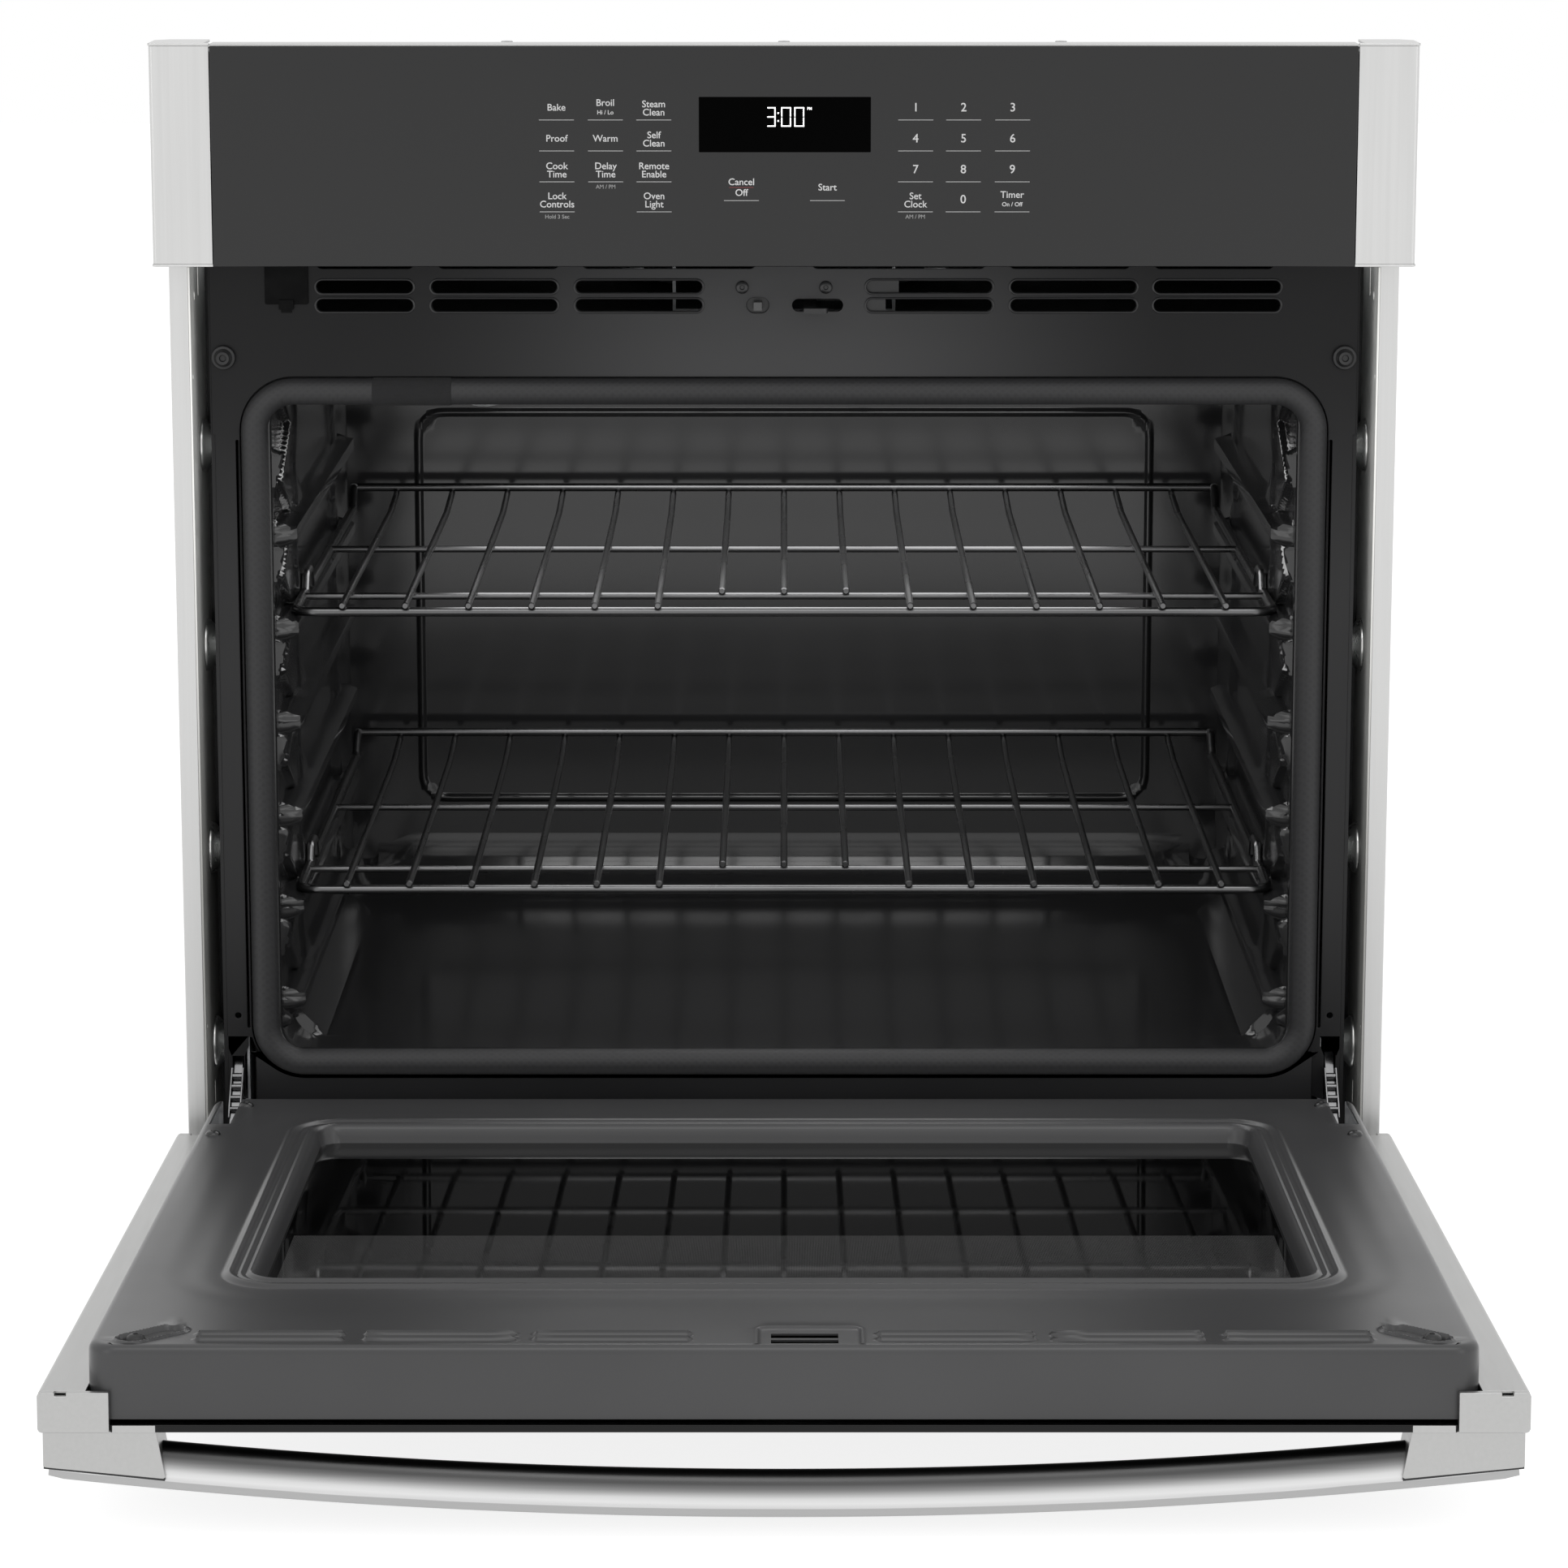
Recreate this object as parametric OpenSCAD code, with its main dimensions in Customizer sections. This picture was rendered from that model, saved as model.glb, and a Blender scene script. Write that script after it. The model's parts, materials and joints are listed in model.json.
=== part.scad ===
// Built-in single wall oven, door open. X is left to right seen from the front, -Y is the front.
// The origin is mid-width, in the cabinet face plane, at the level of the base.

/* [Cabinet fit] */
// Width over the control panel and the door
overall_w = 756; // [740:1:762]
// Height of the top of the control panel above the base
overall_h = 727; // [715:1:740]
// Depth of the body behind the cabinet face
body_depth = 590; // [570:1:600]
// Width of the body wrap that enters the cabinet
body_w = 702; // [700:1:706]

/* [Control panel] */
// Height of the control panel
panel_h = 133; // [125:1:140]
// How far the panel and the closed door stand in front of the cabinet
panel_out = 42; // [40:1:46]
// Width of each end cap
cap_w = 36.5; // [30:0.5:40]

/* [Door] */
// Level of the closed door's lower edge
door_low = 26; // [25:0.5:28]
// Gap between the closed door and the control panel
door_gap = 6; // [4:0.5:8]
// Thickness of the door from its outer face to its inner panel
door_t = 44; // [43:0.5:44]
// Angle that the door is drawn open
door_angle = 87; // [0:1:87]
// Width of the window opening
window_w = 562; // [480:1:570]
// Height of the window opening
window_h = 347; // [300:1:350]

/* [Handle] */
// Radius of the bow of the handle's front line
bow_r = 3350; // [2800:10:4500]
// Thickness of the handle bar
bar_d = 22; // [18:0.5:24]
// How far the middle of the bar stands in front of the door
bar_out = 46; // [42:0.5:52]

/* [Cavity] */
// Inside width of the oven cavity
cavity_w = 634; // [632:1:636]
// Level of the cavity floor
cavity_low = 83; // [82:1:86]
// Level of the cavity ceiling
cavity_top = 520; // [518:1:522]
// Depth of the back wall behind the cabinet face
cavity_back_y = 508; // [480:1:515]

/* [Racks] */
// Height between two rack positions
rack_pitch = 59.5; // [55:0.5:60]
// Level of the rods at the lowest rack position
rack_first = 133.7; // [130:0.1:140]
// Position of the lower rack
lower_position = 2; // [1:1:3]
// Position of the upper rack
upper_position = 5; // [4:1:6]

/* [Hidden] */
$fn = 64;
sheet = 1.5;
eps = 0.01;
half_w = overall_w / 2;
body_x = body_w / 2;
frame_y = 10;
frame_t = 2;
frame_low = 20;
frame_top = overall_h - 5;
// the body stops short of the panel's top, and the panel hides it
body_top = overall_h - 37;
frame_step = 485;

panel_low = overall_h - panel_h;
panel_front = -panel_out;
glass_t = 4;
glass_x = half_w - cap_w - 0.2;
housing_x = glass_x + 3.9;

door_top = panel_low - door_gap;
door_front = -panel_out;
door_back = door_front + door_t;
pivot_y = -33;
pivot_z = 39;
trim_deep = 21;
liner_x = 353.7;
liner_low = door_low + 2;
liner_top = door_top - 4.5;
window_low = 109;
window_top = window_low + window_h;
pane_y = door_back - 9;
bead = 20;
// narrower below, where the seal lies on the closed door
bead_low = 12;

hinge_x = 342.5;
arm_t = 6;
arm_w = 9;
pin_r = 2.5;
fit = 0.05;

handle_z = door_top - 17;
bar_h = 21.6;
mount_h = 26;
mount_in = 313.9;
mount_out = half_w - 2;
// how far the mounts' front line stays behind the bar's front line
mount_behind = 5;
bar_end = mount_out - 2;
bar_front = door_front - bar_out;

cavity_x = cavity_w / 2;
gasket_r = 8.3;
gasket_x = 324.8;
gasket_low = 88;
gasket_top = 512;
gasket_bend = 24.7;
gasket_y = frame_y + 0.7;
flange_y = gasket_y + gasket_r;

vent_h = 7;
vent_rows = [565, 576, 591];
vent_spans = [[49.5, 126.8], [137.9, 214.8], [225.8, 290]];
latch_z = 565;
hook_z = 563.5;
door_slots = [[557.7, 565.7], [571.7, 579.7]];
plug_x = 323;
plug_z = 562;
screw_places = [[331.7, 50.8], [343.5, 126]];
switch_x = -16;
switch_z = 565;

rail_x = 361.8;
trim_x = 373.2;
rib_in = 303.5;
rack_x = 307;
rack_front = 54;
rack_rear = 480;
conduit_z = 650;
rod_r = 2.25;
wire_r = 3;
wire_drop = 4.6;
rod_pitch = 39.5;
rod_count = 15;

blower_y = 330;
blower_z = 550;
blower_r = 95;
shaft_r = 4;

// ---- helpers ----

// A box given by its low and high corners
module span(a, b) {
    translate(a) cube(b - a);
}

// The same thing on both sides of the oven
module both() {
    children();
    mirror([1, 0, 0]) children();
}

// Things drawn for the right side, put on the left when side is -1
module on_side(side) {
    if (side < 0) mirror([1, 0, 0]) children();
    else children();
}

// Things drawn for the closed door, turned to the angle that the door is open
module door_pose() {
    translate([0, pivot_y, pivot_z]) rotate([door_angle, 0, 0])
        translate([0, -pivot_y, -pivot_z]) children();
}

// A flat shape drawn as seen from the front, given depth from y0 to y1
module upright(y0, y1) {
    translate([0, y1, 0]) rotate([90, 0, 0]) linear_extrude(y1 - y0) children();
}

// A rectangle with round corners between two corner points
module round_rect(x0, z0, x1, z1, r) {
    translate([x0 + r, z0]) square([x1 - x0 - 2 * r, z1 - z0]);
    translate([x0, z0 + r]) square([x1 - x0, z1 - z0 - 2 * r]);
    for (x = [x0 + r, x1 - r], z = [z0 + r, z1 - r]) translate([x, z]) circle(r);
}

// A slot with round ends
module slot(x0, x1, z, h) {
    round_rect(x0, z - h / 2, x1, z + h / 2, h / 2 - eps);
}

// A round rod between two points on a line parallel to X, Y or Z
module rod_x(x0, x1, y, z, r) {
    translate([x0, y, z]) rotate([0, 90, 0]) cylinder(h = x1 - x0, r = r);
}

module rod_y(x, y0, y1, z, r) {
    translate([x, y1, z]) rotate([90, 0, 0]) cylinder(h = y1 - y0, r = r);
}

// A quarter bend of round rod in a level plane, from +X round to +Y
module bend(x, y, z, bend_r, r, turn = 0) {
    translate([x, y, z]) rotate([0, 0, turn])
        rotate_extrude(angle = 90) translate([bend_r, 0]) circle(r);
}

// ---- cavity and its front ----

module cavity_shell() {
    x = cavity_x + sheet;
    color("#2b2b2d") {
        difference() {
            span([-x, flange_y, cavity_low - sheet],
                [x, cavity_back_y + sheet, cavity_top + sheet]);
            span([-cavity_x, flange_y - 1, cavity_low], [cavity_x, cavity_back_y, cavity_top]);
            for (s = [-1, 1]) rod_y(s * 60, cavity_back_y - 1, cavity_back_y + 3, 500, 3.6);
            rod_y(-215, cavity_back_y - 1, cavity_back_y + 3, 470, 28);
            rod_y(200, cavity_back_y - 1, cavity_back_y + 3, 485, 3);
        }
        upright(flange_y, flange_y + sheet) difference() {
            round_rect(-335, 77, 335, cavity_top + 2.5, 35);
            round_rect(-316.5, 93, 316.5, 506, 16);
        }
        // pressed rectangle in the back wall
        upright(cavity_back_y - 3, cavity_back_y + eps) difference() {
            round_rect(-264.6, 147, 264.6, 434, 18);
            round_rect(-257.6, 154, 257.6, 427, 12);
        }
    }
}

// Six pressed ribs a side that the racks slide on
module rack_guides() {
    color("#333336") both() for (i = [0:5]) {
        top = rack_first + i * rack_pitch - wire_drop - wire_r - 0.3;
        span([rib_in, 34, top - 9], [cavity_x, 440, top]);
        translate([rib_in, 440, top - 4.5]) rotate([0, 90, 0])
            cylinder(h = cavity_x - rib_in, r = 4.5);
        translate([rib_in, 34, top - 4.5]) rotate([0, 90, 0])
            cylinder(h = cavity_x - rib_in, r = 4.5);
    }
}

module vents() {
    for (z = vent_rows, s = vent_spans) {
        slot(s[0], s[1], z, vent_h);
        slot(-s[1], -s[0], z, vent_h);
    }
}

module front_frame() {
    color("#3a3a3c") {
        upright(frame_y, frame_y + frame_t) difference() {
            union() {
                translate([-349, frame_low]) square([698, frame_step - frame_low]);
                translate([-350.6, frame_step - eps])
                    square([701.2, frame_top - frame_step]);
            }
            round_rect(-333.5, 79, 333.5, 521, 33.4);
            vents();
            slot(switch_x - 6.8, switch_x + 6.8, switch_z, 9.6);
            slot(5, 36, latch_z, 7.6);
            translate([-200, 625]) square([400, 70]);
            for (x = [-hinge_x - 6.3, hinge_x - 6.3]) translate([x, 66]) square([12.6, 38]);
            for (x = [-25.5, 25.5]) translate([x, 576]) circle(1.6);
            for (x = [-342.5, 342.5]) translate([x, 533]) circle(2);
        }
        upright(frame_y + frame_t - eps, flange_y) difference() {
            round_rect(-335, 77.5, 335, 522.5, 34.9);
            round_rect(-333.5, 79, 333.5, 521, 33.4);
        }
    }
}

// Round woven seal in a closed loop
module door_gasket() {
    x = gasket_x - gasket_bend;
    color("#333335") difference() {
        union() {
            for (z = [gasket_low, gasket_top]) rod_x(-x, x, gasket_y, z, gasket_r);
            both() translate([gasket_x, gasket_y, gasket_low + gasket_bend])
                cylinder(h = gasket_top - gasket_low - 2 * gasket_bend, r = gasket_r);
            both() {
                translate([x, gasket_y, gasket_top - gasket_bend]) rotate([90, 0, 0])
                    rotate_extrude(angle = 90) translate([gasket_bend, 0]) circle(gasket_r);
                translate([x, gasket_y, gasket_low + gasket_bend]) rotate([90, 90, 0])
                    rotate_extrude(angle = 90) translate([gasket_bend, 0]) circle(gasket_r);
            }
        }
        rod_x(-252, -203, gasket_y, gasket_top, gasket_r + 1);
    }
}

// Sleeve over the joint of the seal
module gasket_sleeve() {
    color("#2e2e30") rod_x(-252, -203, gasket_y, gasket_top, gasket_r);
}

module insulation() {
    y0 = flange_y + sheet;
    color("#d8cfa0") difference() {
        span([-333, y0, 56], [333, 545, 548]);
        span([-cavity_x - sheet, y0 - 1, 66],
            [cavity_x + sheet, cavity_back_y + sheet, cavity_top + sheet]);
        for (s = [-1, 1]) rod_y(s * 60, 500, 550, 500, 4);
        for (s = [-1, 1]) rod_y(s * 60, 500, 550, 69.2, 4);
        rod_y(-215, 500, 550, 470, 29);
        rod_y(200, 500, 550, 485, 3.5);
    }
}

// ---- body ----

module body_wrap() {
    color("#9a9c9e") difference() {
        span([-body_x, frame_y + frame_t, sheet], [body_x, body_depth - sheet, body_top]);
        span([-body_x + sheet, 0, 0], [body_x - sheet, body_depth, body_top - sheet]);
    }
}

module chassis_back() {
    color("#8f9193") difference() {
        span([-body_x, body_depth - sheet, sheet], [body_x, body_depth, body_top]);
        rod_y(290, body_depth - 5, body_depth + 5, conduit_z, 14);
        for (i = [0:11]) span([-110 + i * 20, body_depth - 5, 560], [-102 + i * 20, body_depth + 5, 620]);
    }
}

module base_pan() {
    color("#8f9193") {
        span([-body_x, -1, 0], [body_x, body_depth, sheet]);
        // folded channels that carry the insulation
        for (x = [-240, 210]) difference() {
            span([x, 60, sheet - eps], [x + 30, 540, 56]);
            span([x + sheet, 50, 0], [x + 30 - sheet, 550, 56 - sheet]);
        }
    }
}

module side_trim(side) {
    color("#dcdcdc") on_side(side) span([rail_x, -3, sheet], [trim_x, 0, panel_low - 0.5]);
}

module side_trim_left() {
    side_trim(-1);
}

module side_trim_right() {
    side_trim(1);
}

// Mounting rail folded in to the body, with four spacer domes and two screw holes
module side_rail(side) {
    color("#b9bbbd") on_side(side) difference() {
        union() {
            span([rail_x - 1.2, -3, sheet], [rail_x, 72, panel_low - 4]);
            span([body_x, 70.8, sheet], [rail_x, 72, panel_low - 4]);
            for (z = [92, 218, 348, 474]) translate([body_x, 45, z]) rotate([0, 90, 0])
                cylinder(h = rail_x - 1.2 - body_x + eps, r1 = 9, r2 = 16);
        }
        for (z = [50, 570]) rod_x(rail_x - 5, rail_x + 5, 18, z, 2.6);
    }
}

module side_rail_left() {
    side_rail(-1);
}

module side_rail_right() {
    side_rail(1);
}

module bottom_trim() {
    x = rail_x - 1.4;
    color("#3a3a3c") {
        span([-x, -3, sheet + 0.1], [x, -1, 18]);
        span([-x, -1 - eps, sheet], [x, frame_y, 3]);
    }
}

// ---- control panel ----

module control_housing() {
    color("#77797b") difference() {
        span([-housing_x, panel_front + glass_t, panel_low + 2],
            [housing_x, frame_y, frame_top]);
        span([-housing_x + sheet, panel_front, panel_low + 2 + sheet],
            [housing_x - sheet, frame_y + 1, frame_top - sheet]);
    }
}

module control_glass() {
    color("#3a3a3b") span([-glass_x, panel_front, panel_low],
        [glass_x, panel_front + glass_t, overall_h - 1.7]);
}

module panel_cap(side) {
    color("#dcdcdc") on_side(side) difference() {
        span([glass_x + 0.2, panel_front, panel_low - 0.1], [half_w, -1, overall_h]);
        span([housing_x, panel_front + sheet, panel_low + sheet],
            [half_w - sheet, 0, overall_h - sheet]);
        span([glass_x, panel_front + glass_t, panel_low - 1],
            [housing_x, 0, overall_h + 1]);
        span([glass_x, panel_front + sheet, panel_low + sheet],
            [housing_x + 1, 0, overall_h - sheet]);
    }
}

module panel_cap_left() {
    panel_cap(-1);
}

module panel_cap_right() {
    panel_cap(1);
}

module panel_top_strip() {
    color("#dcdcdc") span([-glass_x, panel_front, overall_h - 1.7],
        [glass_x, panel_front + 20, overall_h - 0.4]);
}

module display_module() {
    color("#0b0b0c") span([-62, panel_front + glass_t, panel_low + 60],
        [62, -22, panel_low + 110]);
}

module control_board() {
    color("#1f5c38") {
        span([-170, -22, panel_low + 14], [170, -20.4, panel_low + 118]);
        for (x = [-140, -60, 20, 100]) span([x, -20.5, panel_low + 30], [x + 34, -8, panel_low + 60]);
        // stand-offs down to the housing floor
        for (x = [-150, 140]) span([x, -21, panel_low + 2 + sheet], [x + 10, -11, panel_low + 16]);
    }
}

// ---- latch, switch and hinges ----

module latch_motor() {
    color("#8a8c8e") difference() {
        union() {
            span([-30, frame_y + frame_t, 571], [70, frame_y + frame_t + sheet, 586]);
            span([-6, frame_y + frame_t, 570.5], [62, 90, 586]);
            span([48, frame_y + frame_t, 552], [62, 90, 586]);
        }
        for (x = [-25.5, 25.5]) rod_y(x, 10, 25, 576, 1.6);
    }
}

// Flat hook that slides sideways behind the door's inner panel
module latch_hook() {
    color("#b0b2b4") {
        span([12, -9, hook_z - 1.5], [20, 80, hook_z + 1.5]);
        span([12, -9, hook_z - 1.5], [23.5, -3, hook_z + 1.5]);
        translate([23.5, -6, hook_z - 1.5]) cylinder(h = 3, r = 3);
        span([12, 60, hook_z - 1.5], [37, 80, hook_z + 1.5]);
        span([12, 60, hook_z + 1.4], [30, 80, 570.4]);
    }
}

module door_switch() {
    color("#202022") difference() {
        span([switch_x - 10, frame_y + frame_t, switch_z - 10],
            [switch_x + 10, 44, switch_z + 5.9]);
        span([switch_x - 2.6, 0, switch_z - 2.6], [switch_x + 2.6, 38, switch_z + 2.6]);
    }
}

module switch_plunger() {
    color("#d0d0cc") span([switch_x - 2.5, 2.6, switch_z - 2.5],
        [switch_x + 2.5, 30, switch_z + 2.5]);
}

// Pocket behind the frame that the hinge hooks into
module hinge_receiver(side) {
    color("#6d6f72") on_side(side) difference() {
        span([hinge_x - 7, frame_y + frame_t, 62], [body_x - sheet, 96, 108]);
        span([hinge_x - 5.5, 0, 63.5], [body_x - 3, 94.5, 106.5]);
    }
}

module hinge_receiver_left() {
    hinge_receiver(-1);
}

module hinge_receiver_right() {
    hinge_receiver(1);
}

// Fixed hinge arm: an eye on the door's pin, a straight bar and a hooked tail
module hinge_arm(side) {
    bend_y = 20;
    bend_z = 88;
    slope = atan2(bend_z - pivot_z, bend_y - pivot_y);
    reach = norm([bend_z - pivot_z, bend_y - pivot_y]);
    color("#a8aaac") on_side(side) difference() {
        translate([hinge_x - arm_t / 2, 0, 0]) rotate([90, 0, 90]) linear_extrude(arm_t) {
            translate([pivot_y, pivot_z]) circle(arm_w / 2);
            translate([pivot_y, pivot_z]) rotate(slope) translate([0, -arm_w / 2])
                square([reach, arm_w]);
            translate([bend_y, bend_z]) circle(arm_w / 2);
            translate([bend_y, bend_z - arm_w / 2]) square([66, arm_w]);
            translate([64, 63.5]) square([20, 43]);
        }
        rod_x(hinge_x - 10, hinge_x + 10, pivot_y, pivot_z, pin_r + fit);
    }
}

module hinge_arm_left() {
    hinge_arm(-1);
}

module hinge_arm_right() {
    hinge_arm(1);
}

module frame_bumpers() {
    color("#1c1c1e") both() difference() {
        union() {
            rod_y(342.5, 5, frame_y, 533, 7.5);
            rod_y(342.5, frame_y - eps, frame_y + frame_t + 3, 533, 1.9);
            rod_y(342.5, 3.5, 5 + eps, 533, 4.5);
        }
        rod_y(342.5, 0, 6, 533, 1.6);
    }
}

module frame_screws() {
    color("#2a2a2c") both() {
        rod_y(25.5, frame_y - 2.2, frame_y, 576, 4);
        rod_y(25.5, frame_y - eps, frame_y + 8, 576, 1.5);
    }
}

// ---- cooling blower, elements, sensor and lamp ----

module blower_housing() {
    color("#a4a6a8") difference() {
        union() {
            translate([0, blower_y, blower_z]) cylinder(h = 74, r = blower_r);
            span([-70, 100, blower_z], [70, blower_y, blower_z + 60]);
            span([-110, blower_y - 20, blower_z - 2], [110, blower_y + 20, blower_z + 2]);
        }
        translate([0, blower_y, blower_z + 2.5]) cylinder(h = 69, r = blower_r - 2);
        span([-68, 90, blower_z + 2.5], [68, blower_y, blower_z + 58]);
        translate([0, blower_y, blower_z + 60]) cylinder(h = 20, r = 40);
    }
}

module blower_rotor() {
    color("#7c7e80") translate([0, blower_y, 0]) {
        translate([0, 0, blower_z + 8]) cylinder(h = 2, r = 80);
        translate([0, 0, blower_z + 8]) cylinder(h = 102, r = shaft_r);
        translate([0, 0, blower_z + 8]) cylinder(h = 14, r = 12);
        for (i = [0:23]) rotate([0, 0, i * 15]) translate([62, -0.8, blower_z + 9.9])
            cube([17, 1.6, 44]);
        translate([0, 0, blower_z + 53]) difference() {
            cylinder(h = 2, r = 80);
            translate([0, 0, -1]) cylinder(h = 4, r = 61);
        }
    }
}

module blower_motor() {
    color("#55575a") difference() {
        translate([0, blower_y, 0]) {
            translate([0, 0, blower_z + 74]) cylinder(h = 3, r = 60);
            translate([0, 0, blower_z + 76.9]) cylinder(h = 45, r = 38);
        }
        translate([0, blower_y, blower_z + 60]) cylinder(h = 52, r = shaft_r + fit);
    }
}

// A heating rod in two long loops whose ends pass through the back wall
module element(z, back_end) {
    r = 3.2;
    front = 70;
    turn_r = 20;
    inner = 60;
    outer = 240;
    rear = 440;
    over = 2.6 * r;
    both() {
        rod_y(inner, front + turn_r, back_end, z, r);
        rod_y(outer, front + turn_r, rear, z, r);
        bend(outer - turn_r, front + turn_r, z, turn_r, r, -90);
        bend(inner + turn_r, front + turn_r, z, turn_r, r, 180);
        rod_x(inner + turn_r, outer - turn_r, front, z, r);
        bend(outer - turn_r, rear, z, turn_r, r, 0);
    }
    // the two halves meet over the ends that run back
    rod_x(-outer + turn_r, outer - turn_r, rear + turn_r, z + over, r);
    both() translate([outer - turn_r, rear + turn_r, z]) cylinder(h = over, r = r);
    both() for (h = [0, over]) translate([outer - turn_r, rear + turn_r, z + h]) sphere(r);
}

module broil_element() {
    color("#4a4a4c") {
        element(500, 550);
        for (s = [-1, 1]) span([s * 60 - 12, cavity_back_y - 2, 494], [s * 60 + 12, cavity_back_y, 506]);
        both() span([150, 66.8, 500], [156, 73.2, cavity_top]);
    }
}

module bake_element() {
    color("#4a4a4c") {
        element(69.2, 550);
    }
}

module temperature_sensor() {
    color("#c8c8c8") {
        rod_y(200, 440, 552, 485, 2.6);
        span([188, cavity_back_y - 1.5, 479], [212, cavity_back_y, 491]);
    }
}

module lamp_socket() {
    color("#e8e4da") difference() {
        rod_y(-215, cavity_back_y - 1, 552, 470, 27.9);
        rod_y(-215, cavity_back_y - 2, 548, 470, 25.5);
    }
    color("#e8e4da") rod_y(-215, 530, 549, 470, 13);
}

module lamp_bulb() {
    color("#f4f0e0") {
        rod_y(-215, 516, 530, 470, 8);
        translate([-215, 514, 470]) sphere(8);
    }
}

module lamp_lens() {
    color("#e6eef0") difference() {
        union() {
            rod_y(-215, cavity_back_y - 4, cavity_back_y - 1, 470, 34);
            rod_y(-215, cavity_back_y - 1 - eps, cavity_back_y, 470, 34);
            rod_y(-215, cavity_back_y - 12, cavity_back_y - 4 + eps, 470, 26);
        }
        rod_y(-215, cavity_back_y - 9, cavity_back_y + 1, 470, 28 - 4);
        rod_y(-215, cavity_back_y - 1, cavity_back_y + 1, 470, 28);
    }
}

module junction_box() {
    color("#9a9c9e") difference() {
        span([250, 520, conduit_z - 35], [330, body_depth - sheet, conduit_z + 35]);
        span([251.5, 521.5, conduit_z - 33.5],
            [328.5, body_depth - sheet - 1.5, conduit_z + 33.5]);
        rod_y(290, body_depth - 5, body_depth + 5, conduit_z, 14);
    }
}

// Screwed connector for the flexible conduit
module conduit_fitting() {
    color("#c4c6c8") difference() {
        union() {
            rod_y(290, body_depth - 12, body_depth + 14, conduit_z, 14);
            rod_y(290, body_depth, body_depth + 5, conduit_z, 19);
        }
        rod_y(290, body_depth - 20, body_depth + 20, conduit_z, 11);
    }
}

// ---- door, drawn closed ----

module louvre(x0, x1, z) {
    slot(x0, x1, z, 3);
    slot(x0, x1, z + 9, 3);
}

module door_liner() {
    color("#545456") door_pose() difference() {
        union() {
            difference() {
                upright(door_front + glass_t, door_back)
                    round_rect(-liner_x, liner_low, liner_x, liner_top, 6);
                upright(door_front, door_back - sheet)
                    round_rect(-liner_x + sheet, liner_low + sheet, liner_x - sheet,
                        liner_top - sheet, 4.5);
            }
            // raised bead and return around the window
            upright(door_back - eps, door_back + 2) round_rect(-window_w / 2 - bead,
                window_low - bead_low, window_w / 2 + bead, window_top + bead, 30);
            upright(pane_y, door_back - sheet + eps) round_rect(-window_w / 2 - sheet,
                window_low - sheet, window_w / 2 + sheet, window_top + sheet, 14);
        }
        upright(pane_y - 1, door_back + 3) round_rect(-window_w / 2, window_low,
            window_w / 2, window_top, 12);
        upright(door_back, door_back + 3) round_rect(-window_w / 2 - bead + 6,
            window_low - bead_low + 6, window_w / 2 + bead - 6, window_top + bead - 6, 24);
        upright(door_back - 3, door_back + 1) {
            for (s = [[132, 210], [215, 296], [47, 128]]) {
                louvre(s[0], s[1] - 4, 560);
                louvre(-s[1] + 4, -s[0], 560);
            }
            for (z = door_slots) translate([-6.7, z[0]]) square([34.5, z[1] - z[0]]);
        }
        // hinge slots, open at the lower edge
        both() span([hinge_x - 6, -31, 0], [hinge_x + 5.5, 5, 99]);
        both() rod_y(plug_x, -5, 5, plug_z, 5);
        both() for (p = screw_places) rod_y(p[0], -5, 5, p[1], 2);
    }
}

module pane(y0, y1) {
    upright(y0, y1) round_rect(-window_w / 2 - 8, window_low - 8, window_w / 2 + 8,
        window_top + 8, 10);
}

module inner_glass() {
    color("#101214") door_pose() pane(pane_y - glass_t, pane_y);
}

module middle_glass() {
    color("#101214") door_pose() pane(pane_y - 20, pane_y - 20 + glass_t);
}

// Metal frame that spaces and holds the two inner panes
module window_frame() {
    x = window_w / 2;
    color("#8c8e90") door_pose() {
        upright(pane_y - 20, pane_y) difference() {
            round_rect(-x - 14, window_low - 14, x + 14, window_top + 14, 16);
            round_rect(-x - 8, window_low - 8, x + 8, window_top + 8, 10);
        }
        upright(pane_y - 16, pane_y - glass_t) difference() {
            round_rect(-x - 9, window_low - 9, x + 9, window_top + 9, 11);
            round_rect(-x - 1, window_low - 1, x + 1, window_top + 1, 8);
        }
        upright(pane_y - 22, pane_y - 20) difference() {
            round_rect(-x - 14, window_low - 14, x + 14, window_top + 14, 16);
            round_rect(-x, window_low, x, window_top, 8);
        }
    }
}

module outer_glass() {
    color("#1a1a1b") door_pose() difference() {
        span([-glass_x, door_front, door_low], [glass_x, door_front + glass_t, door_top - 1]);
        both() span([317.6, door_front - 1, door_top - 7], [glass_x + 1, 0, door_top]);
        both() for (z = [handle_z - 6, handle_z + 4])
            rod_y(328, door_front - 1, door_front + 5, z, 2.6);
    }
}

module door_insulation() {
    x = window_w / 2 + 14.5;
    color("#d8cfa0") door_pose() upright(door_front + 9, door_back - sheet) difference() {
        translate([-330, 44]) square([660, 500]);
        translate([-x, window_low - 14.5]) square([2 * x, window_h + 29]);
        for (s = [-1, 1]) translate([s * screw_places[0][0], screw_places[0][1]]) circle(3);
    }
}

module door_trim(side) {
    color("#d4d4d4") door_pose() on_side(side) {
        z0 = door_low + 5;
        z1 = door_top - 5;
        x0 = glass_x + 0.2;
        span([x0, door_front, z0], [half_w, door_front + sheet, z1]);
        span([half_w - sheet, door_front, z0], [half_w, door_front + trim_deep, z1]);
        span([liner_x, door_front + trim_deep - sheet, z0],
            [half_w, door_front + trim_deep, z1]);
    }
}

module door_trim_left() {
    door_trim(-1);
}

module door_trim_right() {
    door_trim(1);
}

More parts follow.
